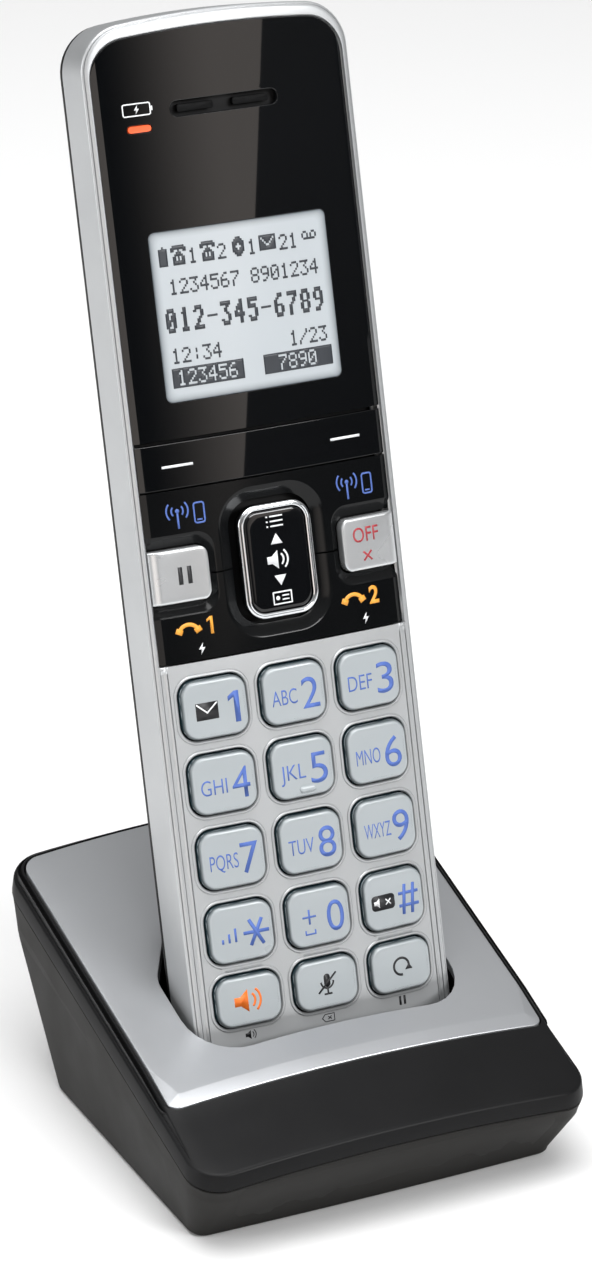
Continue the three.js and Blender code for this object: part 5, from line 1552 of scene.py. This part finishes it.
@dataclass(frozen=True)
class Legends:
    """Marks on the keys, the bars, the lens and the deck: numbers, letters of the dial, and plain signs."""

    letters: tuple[str, ...] = ("", "", "ABC", "DEF", "GHI", "JKL", "MNO", "PQRS", "TUV", "WXYZ")
    one: Steps = ((2.3, 1.55), (3.45, 2.4), (4.3, 2.4), (4.3, -3.0), (3.35, -3.0), (3.35, 1.35), (2.3, 0.75))

    def dial(self) -> None:
        """Numbers and letters of the nine number keys, and the star, zero and hash keys."""
        for number in range(1, 10):
            key = DialKey(*divmod(number - 1, 3))
            page = key.page()
            if number == 1:
                page.fill(self.one, Ink.BLUE)
                page.sign(Sign.ENVELOPE, (-1.6, -0.3), 1.5, Ink.BLACK)
            else:
                page.text(str(number), 1.35, 4.6, -3.0, 5.3, Ink.BLUE)
                far = 0.9 if len(self.letters[number]) == 4 else 0.45
                page.text(self.letters[number], -4.3, far, -1.75, 2.6, Ink.BLUE, -0.006)
            key.mark(page)
        star, zero, pound = (DialKey(3, column) for column in range(3))
        page = star.page()
        for angle in (0, 60, 120):
            reach = 2.35 * np.array([math.cos(math.radians(angle)), 1.12 * math.sin(math.radians(angle))])
            page.line(np.array([2.6, -0.3]) + np.stack([-reach, reach]), 0.62, Ink.BLUE, angle * 5e-5)
        for k, tall in enumerate((0.8, 1.6, 2.4)):
            page.line([(-3.6 + 1.2 * k, -1.5), (-3.6 + 1.2 * k, tall - 1.5)], 0.4, Ink.BLUE)
        star.mark(page)
        page = zero.page().text("0", 1.35, 4.6, -3.0, 5.3, Ink.BLUE)
        page.line([(-3.3, 0.2), (-0.7, 0.2)], 0.34, Ink.BLUE).line([(-2, -1.1), (-2, 1.5)], 0.34, Ink.BLUE, 0.005)
        page.line([(-2.9, -2.1), (-2.9, -2.8), (-1.1, -2.8), (-1.1, -2.1)], 0.28, Ink.BLUE)
        zero.mark(page)
        page = pound.page()
        for k in (-1, 1):
            page.line([(2.5 + 0.85 * k, -3.0), (3.1 + 0.85 * k, 2.3)], 0.6, Ink.BLUE)
            page.line([(0.9, -0.35 + 1.1 * k), (4.8, -0.35 + 1.1 * k)], 0.55, Ink.BLUE, 0.005)
        page.fill(rounded_box((4.6, 2.7), 0.7, (-2.2, -0.1), arc=5), Ink.BLACK)
        page.sign(Sign.SPEAKER, (-2.9, -0.1), 0.85, Ink.WHITE, 0.02)
        page.sign(Sign.CROSS, (-1.2, -0.1), 0.62, Ink.WHITE, 0.02)
        pound.mark(page)

    def foot(self) -> None:
        """Signs of the last row, and the small ones on the deck below it."""
        speaker, mute, redial = (DialKey(4, column) for column in range(3))
        speaker.mark(speaker.page().sign(Sign.LOUD_SPEAKER, (-0.2, 0), 2.0, Ink.ORANGE))
        mute.mark(mute.page().sign(Sign.MUTED_MICROPHONE, (0, 0), 1.9, Ink.BLACK))
        redial.mark(redial.page().sign(Sign.AGAIN, (0, 0), 1.75, Ink.BLACK))
        page = Print(FACE.crown_at)
        page.sign(Sign.LOUD_SPEAKER, (-FACE.key_pitch, 9.55), 0.8, Ink.BLACK)
        page.sign(Sign.ERASE, (0, 9.55), 0.8, Ink.BLACK)
        page.sign(Sign.BARS, (FACE.key_pitch, 9.55), 0.8, Ink.BLACK)
        page.settle("deck_signs", "handset", "silver")

    def face(self) -> None:
        """Signs on the lens, the bars, the navigation key and the keys beside it."""
        page = Print(FACE.plate_at)
        page.sign(Sign.BATTERY, (-15.8, 168.75), 1.05, Ink.WHITE)
        page.settle("charge_sign", "handset", "gloss_black")
        page = Print(FACE.plate_at)
        for x0, x1 in ((-18.7, -13.1), (12.7, 18.4)):
            page.line([(x0, 108.9), (x1, 108.9)], 0.42, Ink.WHITE)
        page.settle("soft_key_marks", "soft_key_bar", "gloss_black")
        page = Print(FACE.plate_at)
        for x in (-16.9, 14.9):
            page.sign(Sign.WAVES, (x, 100.4), 2.5, Ink.BLUE)
            page.sign(Sign.MOBILE, (x + 3.9, 100.5), 1.9, Ink.BLUE)
        page.settle("cell_key_signs", "cell_key_bar", "gloss_black")
        page = Print(FACE.plate_at)
        for x, number in ((-15.7, "1"), (15.35, "2")):
            page.sign(Sign.RECEIVER, (x - 1.6, 81.3), 1.85, Ink.AMBER)
            if number == "1":
                page.fill(np.array(self.one) * 0.56 + [x + 0.45, 81.35], Ink.AMBER)
            else:
                page.text(number, x + 1.5, x + 3.4, 79.75, 3.0, Ink.AMBER, 0.03)
            page.sign(Sign.BOLT, (x + 0.4, 77.4), 1.0, Ink.WHITE)
        page.settle("line_key_signs", "line_key_bar", "gloss_black")
        keys = FunctionKeys()
        page = Print(lambda x, z: np.full_like(x, keys.key[-1][1]), (0, FACE.split_middle))
        page.sign(Sign.LIST, (0, 6.6), 1.3, Ink.WHITE)
        page.fill([(-1.1, 2.7), (1.1, 2.7), (0, 4.5)], Ink.WHITE)
        page.sign(Sign.LOUD_SPEAKER, (0, 0), 1.6, Ink.WHITE)
        page.fill([(-1.1, -2.7), (1.1, -2.7), (0, -4.5)], Ink.WHITE)
        page.sign(Sign.CARD, (0, -6.6), 1.35, Ink.WHITE)
        page.settle("nav_key_signs", "nav_rocker", "gloss_black")
        page = Print(keys.side_depth, (-17.1, FACE.split_middle))
        page.sign(Sign.BARS, (0, 0), 1.5, Ink.BLACK)
        page.settle("hold_key_sign", "hold_key", "bright")
        page = Print(keys.side_depth, (17.1, FACE.split_middle))
        page.text("OFF", -2.5, 2.5, 0.3, 2.5, Ink.RED, 0.004)
        page.sign(Sign.CROSS, (0, -2.2), 1.0, Ink.RED)
        page.settle("off_key_sign", "off_key", "bright")

    def build(self) -> None:
        """Makes all marks."""
        self.dial()
        self.foot()
        self.face()


# ---------------------------------------------------------------- the cradle


@dataclass(frozen=True)
class Plan:
    """A trapezoid plan with rounded corners, whose front bows out."""

    front: float
    rear: float
    half_front: float
    half_rear: float
    front_corner: float
    rear_corner: float
    bow: float = 0.5
    least_corner: float = 0.3

    def ring(self, inset: float) -> np.ndarray:
        """Outline drawn in by an amount; its front bows out by bow * (1 - (x / half)^2).

        Args:
            inset: How far it is drawn in.

        Returns:
            A closed outline of n by 2.
        """
        front, rear = self.front + inset, self.rear - inset
        corners = [max(corner - inset, self.least_corner) for corner in (self.front_corner, self.rear_corner)]
        path = walk([(0, front, 0), (self.half_front - inset, front, corners[0]),
                     (self.half_rear - inset, rear, corners[1]), (0, rear, 0)], 10, [8, 8, 8])
        bow = np.where(path[:, 1] < (self.front + self.rear) / 2,
                       self.bow * (1 - (path[:, 0] / self.half_front) ** 2), 0)
        return mirrored(shifted(path, -bow))


@dataclass(frozen=True)
class Cradle:
    """The cradle's cover with its ridge, deck and well, the silver plate on the deck, and the tub's skin."""

    cover: Plan = Plan(-47.9, 36.6, 37.6, 38.2, 6.2, 7.0)
    plate: Plan = Plan(-32.2, 31.8, 35.6, 36.1, 1.9, 3.2)
    tub: Plan = Plan(-39.3, 22.8, 34.5, 35.3, 3.0, 6.0)
    parting_height: float = 13.3
    parting_slope: float = math.tan(math.radians(14.4))
    deck_height: float = 22.1
    deck_slope: float = math.tan(math.radians(15.1))
    deck_crown: float = 2.2
    band_height: float = 2.86
    seat: float = 1.4
    proud: float = 0.5
    skirt: float = 1.1
    bevel_end: float = -28.5
    bevel_turn: float = 1.5
    well_half: float = 25.8
    well_shoulder: float = 13.0
    well_rear_half: float = 17.0
    well_rear: float = 26.3
    well_front: float = -3.4
    lip_front: float = -5.0
    tub_rim: float = 0.25
    tub_foot: float = 0.4
    tub_reach: int = 32
    cover_wall: float = 1.2
    tub_wall: float = 0.3

    def parting(self, x: np.ndarray, y: np.ndarray) -> np.ndarray:
        """Height of the parting line: a slope to the rear with a crown across."""
        return (self.parting_height + (y - self.cover.front) * self.parting_slope
                + self.deck_crown * (1 - (x / self.cover.half_front) ** 2))

    def deck(self, x: np.ndarray, y: np.ndarray) -> np.ndarray:
        """Height of the deck: a steeper slope with the same crown."""
        return (self.deck_height + (y - self.plate.front) * self.deck_slope
                + self.deck_crown * (1 - (x / self.plate.half_front) ** 2))

    def well(self, grow: float, front: float) -> np.ndarray:
        """Section of the well in the handset's x and y, with as many points as a plan.

        Args:
            grow: How far it is drawn out.
            front: Depth of its front.

        Returns:
            A closed section of n by 2.
        """
        wide, back = self.well_half + grow, self.well_rear + grow
        return mirrored(walk([(0, front - grow, 0), (wide, front - grow, 9 + grow), (wide, self.well_shoulder, 6),
                              (self.well_rear_half + grow, back, 6 + grow), (0, back, 0)], 7, [8, 4, 4, 7]))

    @staticmethod
    def along_well(section: np.ndarray, z: float) -> np.ndarray:
        """Ring of a section of the well at a height along the handset, in the cradle's frame."""
        return leaned(raise_plan(section, z)) - [0, PLAN_SHIFT, 0]

    def mouth(self, grow: float, rise: float) -> np.ndarray:
        """Line where the leaning well meets the deck raised by an amount.

        Each point of the section slides along the handset's length. Its height over the deck falls evenly
        with it, so two tries give the meeting point, and the crown is taken at the point's own x.

        Args:
            grow: How far the well's section is drawn out.
            rise: Height over the deck.

        Returns:
            A ring of as many points as a plan's.
        """
        section = self.well(grow, self.lip_front)
        near, far = self.along_well(section, 0.0), self.along_well(section, 1.0)
        over = [at[:, 2] - self.deck(at[:, 0], at[:, 1]) - rise for at in (near, far)]
        return near + (far - near) * (over[0] / (over[0] - over[1]))[:, None]

    def around_plate(self, front: tuple[float, float], side: tuple[float, float]) -> np.ndarray:
        """Ring round the plate, given as inset and height over the deck at its front and at its sides.

        The front's pair holds up to bevel_turn before y = bevel_end, then turns to the sides' pair.

        Args:
            front: Inset and height at the front.
            side: Inset and height at the sides.

        Returns:
            A ring of n by 3.
        """
        share = np.clip((self.bevel_end - self.plate.ring(0)[:, 1:]) / self.bevel_turn, 0, 1)
        at = [raise_plan(self.plate.ring(inset), self.deck, height) for inset, height in (front, side)]
        return at[0] * share + at[1] * (1 - share)

    def build_cover(self) -> None:
        """Makes the cover: band, ridge, deck, seat of the plate, and well."""
        band, seat = self.band_height, -self.seat
        rings = [raise_plan(self.cover.ring(inset), self.parting, rise) for inset, rise in (
            (0.15, 0), (0, 0.15), (0.3, band - 0.3), (0.42, band - 0.08), (0.65, band + 0.06))]
        start = raise_plan(self.cover.ring(1.0), self.parting, band + 0.14)
        rings += [*between(start, self.around_plate((-0.75, -0.2), (-0.75, 0.2)), (0.0, 0.25, 0.5, 0.75, 1.0))]
        rings += [self.around_plate(front, side) for front, side in (
            ((-0.5, -0.12), (-0.55, 0.3)), ((-0.35, -0.16), (-0.4, 0.28)), ((-0.25, -0.35), (-0.3, 0.1)),
            ((-0.25, seat), (-0.3, seat)))]
        rings += [*raise_plan(between(rings[-1], self.mouth(0, seat), (0.33, 0.66, 1.0)), self.deck, seat)]
        rings += [self.along_well(self.well(grow, self.well_front), z) for grow, z in (
            (0, 0.4), (-0.4, -0.2), (-1.2, -0.3))]
        sheet = Sheet(in_plan).rows(np.stack(rings), closed=True).lid(rings[-1])
        cover = sheet.build("cradle_cover_black", [BLACK_ABS], (0, 0, 1), 26)
        thicken(cover, self.cover_wall)
        settle(cover, "cradle", ["cradle_cover"])

    def build_plate(self) -> None:
        """Makes the plate: a wide bevel along its front, thin edges at its sides, and the well's mouth."""
        top, foot = self.proud, -self.skirt
        rings = [self.mouth(0, foot), *[self.around_plate(front, side) for front, side in (
            ((0.1, foot), (0.1, foot)), ((0, -1.0), (0, -1.0)), ((0, -0.2), (0, 0.3)),
            ((0.08, -0.1), (0.04, 0.42)), ((2.2, top - 0.03), (0.14, top - 0.02)), ((2.45, top), (0.4, top)))]]
        face = between(rings[-1], self.mouth(0, top), (0.2, 0.45, 0.7, 0.9, 0.985))
        rings += [*raise_plan(face, self.deck, top)]
        rings += [self.mouth(0.08, top), self.mouth(0, top - 0.15), self.mouth(0, foot)]
        sheet = Sheet(in_plan).rows(np.stack(rings), closed=True)
        # The plate's darker silver is painted shade
        settle(sheet.build("cradle_plate_silver", [SHADED_PLATE_PAINT], None, 24), "cradle", ["cradle_plate"])

    def _wall(self, plan: np.ndarray, share: float) -> np.ndarray:
        """Ring of the tub's wall, a share of the way down from the parting line to the foot."""
        rim = raise_plan(plan, self.parting, -self.tub_rim)
        return rim + [0, 0, 1] * (self.tub_foot - rim) * share

    def build_skin(self) -> None:
        """Makes the tub's outer skin, from one rear corner round the front to the other.

        Its shoulder lies a tenth of the way in from the cover's plan to the tub's.
        """
        foot, tub = self.tub_foot, self.tub.ring(-0.06)
        shoulder = self.cover.ring(0.14) * 0.9 + tub * 0.1
        rings = [raise_plan(self.cover.ring(inset), self.parting, -self.tub_rim - drop) for inset, drop in (
            (0.8, 0.1), (0.3, 0), (0.14, 0.15))]
        rings += [self._wall(shoulder, 0.16), self._wall(shoulder * 0.97 + tub * 0.03, 0.22)]
        rings += [raise_plan(self.tub.ring(inset), foot, rise) for inset, rise in (
            (-0.06, 0.9), (0.1, 0.3), (0.45, 0), (3.5, -0.04))]
        part = np.r_[-self.tub_reach:0, 0:self.tub_reach + 1]
        piece = Sheet(in_plan).rows(np.stack(rings)[:, part]).build("cradle_tub_skin", [TUB_ABS], (0, -1, 0), 30)
        thicken(piece, self.tub_wall)
        settle(piece, "cradle")

    def build(self) -> None:
        """Makes the cradle's three pieces."""
        self.build_cover()
        self.build_plate()
        self.build_skin()


# ---------------------------------------------------------------- carried-over CAD nodes


class Dresser:
    """Gives the CAD nodes that stay in view their materials, smooth shading and soft edges."""

    def __init__(self) -> None:
        """Makes the node group that joins loose triangles and keeps only real edges sharp."""
        self.group = bpy.data.node_groups.new("cad_shading", "GeometryNodeTree")
        self.group.interface.new_socket("Geometry", in_out="INPUT", socket_type="NodeSocketGeometry")
        self.group.interface.new_socket("Geometry", in_out="OUTPUT", socket_type="NodeSocketGeometry")
        source = add_node(self.group, "NodeGroupInput")
        joined = add_node(self.group, "GeometryNodeMergeByDistance", {"Distance": 0.002 * MM},
                          {"Geometry": source.outputs[0]})
        angle = add_node(self.group, "GeometryNodeInputMeshEdgeAngle")
        sharp = add_node(self.group, "FunctionNodeCompare", {1: math.radians(32)},
                         {0: angle.outputs["Unsigned Angle"]}, operation="GREATER_THAN")
        normal = add_node(self.group, "GeometryNodeSetMeshNormal", {"Remove Custom": True},
                          {"Mesh": joined.outputs[0], "Edge Sharpness": sharp.outputs[0]})
        out = add_node(self.group, "NodeGroupOutput")
        self.group.links.new(normal.outputs[0], out.inputs[0])

    def dress(self, names: Sequence[str], finish: Finish, edge_mm: float = 0.0) -> None:
        """Assigns a finish to nodes and shades them smooth between their real edges.

        Args:
            names: The nodes.
            finish: Their finish.
            edge_mm: Width of their softened edges.
        """
        for name in names:
            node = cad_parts[name]
            node.data.materials.clear()
            node.data.materials.append(finish.build())
            shading = node.modifiers.new("shading", "NODES")
            shading.node_group = self.group
            if edge_mm > 0:
                soften(node, edge_mm, 32)
            log.info("%s is dressed in %s", name, finish.name)


# Finish, softened edge in millimetres and names of the CAD nodes that keep their own meshes
DRESSED = (
    (LCD_GLASS, 0.0, ("lcd_panel",)),
    (DIFFUSER, 0.0, ("lcd_backlight",)),
    (AMBER_LAMP, 0.0, ("charge_light",)),
    (RUBBER, 0.0, ("earpiece_mesh", "key_mat", "microphone", "loudspeaker", "power_inlet", "foot_front_left",
                   "foot_front_right", "foot_rear_left", "foot_rear_right")),
    (BLACK_ABS, 0.15, ("rear_shell", "battery_door")),
    (TUB_ABS, 0.2, ("cradle_base",)),
    (BOARD, 0.0, ("main_board", "cradle_board")),
    (GOLD, 0.0, ("charge_pad_left", "charge_pad_right", "charge_pin_left", "charge_pin_right")),
    (STEEL, 0.0, ("earpiece_speaker", "handset_screw_left", "handset_screw_right", "cradle_screw_front_left",
                  "cradle_screw_front_right", "cradle_screw_rear_left", "cradle_screw_rear_right")),
    (WRAP, 0.0, ("battery_pack",)),
)


# ---------------------------------------------------------------- studio

# The camera's place in millimetres and its axes in the row frame, fitted on the photograph's edges
EYE = (-299.62, -618.80, 392.74)
RIGHT = (0.90032, -0.43516, 0.00691)
DOWN = (-0.16969, -0.36561, -0.91517)
AHEAD = (0.40078, 0.82278, -0.40301)
# Name, place, target, size and power of each soft light, in metres and watts
LIGHTS = (
    ("overhead", (-0.18, -0.2, 1.4), (0, 0, 0.05), (1.1, 0.9), 18),
    ("front_fill", (0.6, -1.5, 1.0), (0, 0, 0.1), (0.7, 0.5), 18),
    ("left_fill", (-1.4, 0.1, 0.5), (0, 0, 0.1), (0.5, 0.8), 7),
)
# Position and colour of the surrounding's two ends, by height
SKY = ((0.1, (0.03, 0.03, 0.032, 1)), (0.7, (0.5, 0.5, 0.5, 1)))
CARD_CORNERS = ((0.14, -0.9, 0.1), (0.209, -0.9, 0.1), (0.64, -0.9, 0.527), (0.14, -0.9, 0.527),
                (-0.9, -0.9, 0.02), (-0.2, -0.9, 0.02), (-0.2, -0.9, 0.5), (-0.9, -0.9, 0.5))
# The cards' light grows from nothing to its full strength over these distances from the middle
CARD_FADE = {"From Min": 0.17, "From Max": 0.42, "To Min": 0.0, "To Max": 1.5}
FLOOR_CORNERS = ((-4, -4, 0), (4, -4, 0), (4, 6, 0), (-4, 6, 0))


def add_camera() -> None:
    """Puts the camera where the photograph was taken from, with its fitted focal length and centre."""
    data = bpy.data.cameras.new("photo_camera")
    for name, value in (("lens", 125.0), ("sensor_width", 36.0), ("sensor_height", 36.0), ("sensor_fit", "AUTO"),
                        ("shift_x", 0.0013), ("shift_y", 0.0027), ("clip_end", 20)):
        setattr(data, name, value)
    camera = bpy.data.objects.new("photo_camera", data)
    turn = Matrix((RIGHT, -Vector(DOWN), -Vector(AHEAD))).transposed().to_4x4()
    camera.matrix_world = Matrix.Translation(Vector(EYE) * MM) @ turn
    bpy.context.scene.collection.objects.link(camera)
    bpy.context.scene.camera = camera


def add_light(name: str, place: Sequence[float], target: Sequence[float], size: tuple[float, float],
              power: float) -> None:
    """Adds a rectangular, soft white light.

    Args:
        name: The light's name.
        place: Where it stands.
        target: Where it looks.
        size: Width and height.
        power: Its power in watts.
    """
    data = bpy.data.lights.new(name, "AREA")
    data.shape = "RECTANGLE"
    data.size, data.size_y = size
    data.energy = power
    light = bpy.data.objects.new(name, data)
    aim = Vector(target) - Vector(place)
    light.matrix_world = Matrix.Translation(place) @ aim.to_track_quat("-Z", "Y").to_matrix().to_4x4()
    bpy.context.scene.collection.objects.link(light)


def add_staged(name: str, corners: Sequence[Sequence[float]], material: bpy.types.Material) -> bpy.types.Object:
    """Adds flat quads of the studio, which are no part of the object.

    Args:
        name: The quads' name.
        corners: Four corners of each quad in turn.
        material: Their material.

    Returns:
        The staged object.
    """
    mesh = bpy.data.meshes.new(name)
    mesh.from_pydata(corners, [], np.arange(len(corners)).reshape(-1, 4).tolist())
    mesh.materials.append(material)
    piece = bpy.data.objects.new(name, mesh)
    bpy.context.scene.collection.objects.link(piece)
    return piece


def add_cards() -> None:
    """Adds the dim cards at both sides of the camera, which the gloss of the lens mirrors.

    The right one is lit from its left to its right edge, and that edge slants, so the mirrored light ends in
    a line down the lens; the left one draws the lens's bevelled edge. They show in gloss only, so they hide
    nothing and light nothing else.
    """
    material = bpy.data.materials.new("reflector_card")
    material.use_nodes = True
    tree = material.node_tree
    tree.nodes.remove(tree.nodes["Principled BSDF"])
    place = add_node(tree, "ShaderNodeTexCoord")
    split = add_node(tree, "ShaderNodeSeparateXYZ", links={0: place.outputs["Object"]})
    width = add_node(tree, "ShaderNodeMath", links={0: split.outputs["X"]}, operation="ABSOLUTE")
    fade = add_node(tree, "ShaderNodeMapRange", CARD_FADE, {"Value": width.outputs[0]},
                    interpolation_type="SMOOTHSTEP")
    light = add_node(tree, "ShaderNodeEmission", {"Color": linear("#fff4ec")},
                     {"Strength": fade.outputs["Result"]})
    tree.links.new(light.outputs[0], tree.nodes["Material Output"].inputs["Surface"])
    card = add_staged("card", CARD_CORNERS, material)
    for ray in ("visible_camera", "visible_diffuse", "visible_shadow", "visible_transmission"):
        setattr(card, ray, False)


def add_studio() -> None:
    """Adds the pale floor, the soft lights and the surrounding."""
    bpy.context.scene.view_settings.view_transform = "Standard"
    world = bpy.data.worlds.new("studio")
    bpy.context.scene.world = world
    world.use_nodes = True
    tree = world.node_tree
    place = add_node(tree, "ShaderNodeTexCoord")
    split = add_node(tree, "ShaderNodeSeparateXYZ", links={0: place.outputs["Generated"]})
    ramp = add_node(tree, "ShaderNodeValToRGB", links={0: split.outputs["Z"]})
    for element, (position, colour) in zip(ramp.color_ramp.elements, SKY):
        element.position, element.color = position, colour
    ray = add_node(tree, "ShaderNodeLightPath")
    seen = add_node(tree, "ShaderNodeMix", {7: (1, 1, 1, 1)},
                    {0: ray.outputs["Is Camera Ray"], 6: ramp.outputs[0]}, data_type="RGBA")
    wire(tree, tree.nodes["Background"], links={"Color": seen.outputs[2]})
    for light in LIGHTS:
        add_light(*light)
    add_staged("floor", FLOOR_CORNERS, PAPER.build())


def main() -> None:
    """Builds the studio, then each sub-assembly in order."""
    add_camera()
    add_studio()
    add_cards()
    for part in (FrontShell(), RearLip(), FaceTray(), Lens(), KeyBars()):
        part.build()
    for row, column in np.ndindex(5, 3):
        DialKey(row, column).build()
    for part in (FunctionKeys(), Display(), Legends(), Cradle()):
        part.build()
    dresser = Dresser()
    for finish, edge_mm, names in DRESSED:
        dresser.dress(names, finish, edge_mm)


if __name__ == "__main__":
    main()
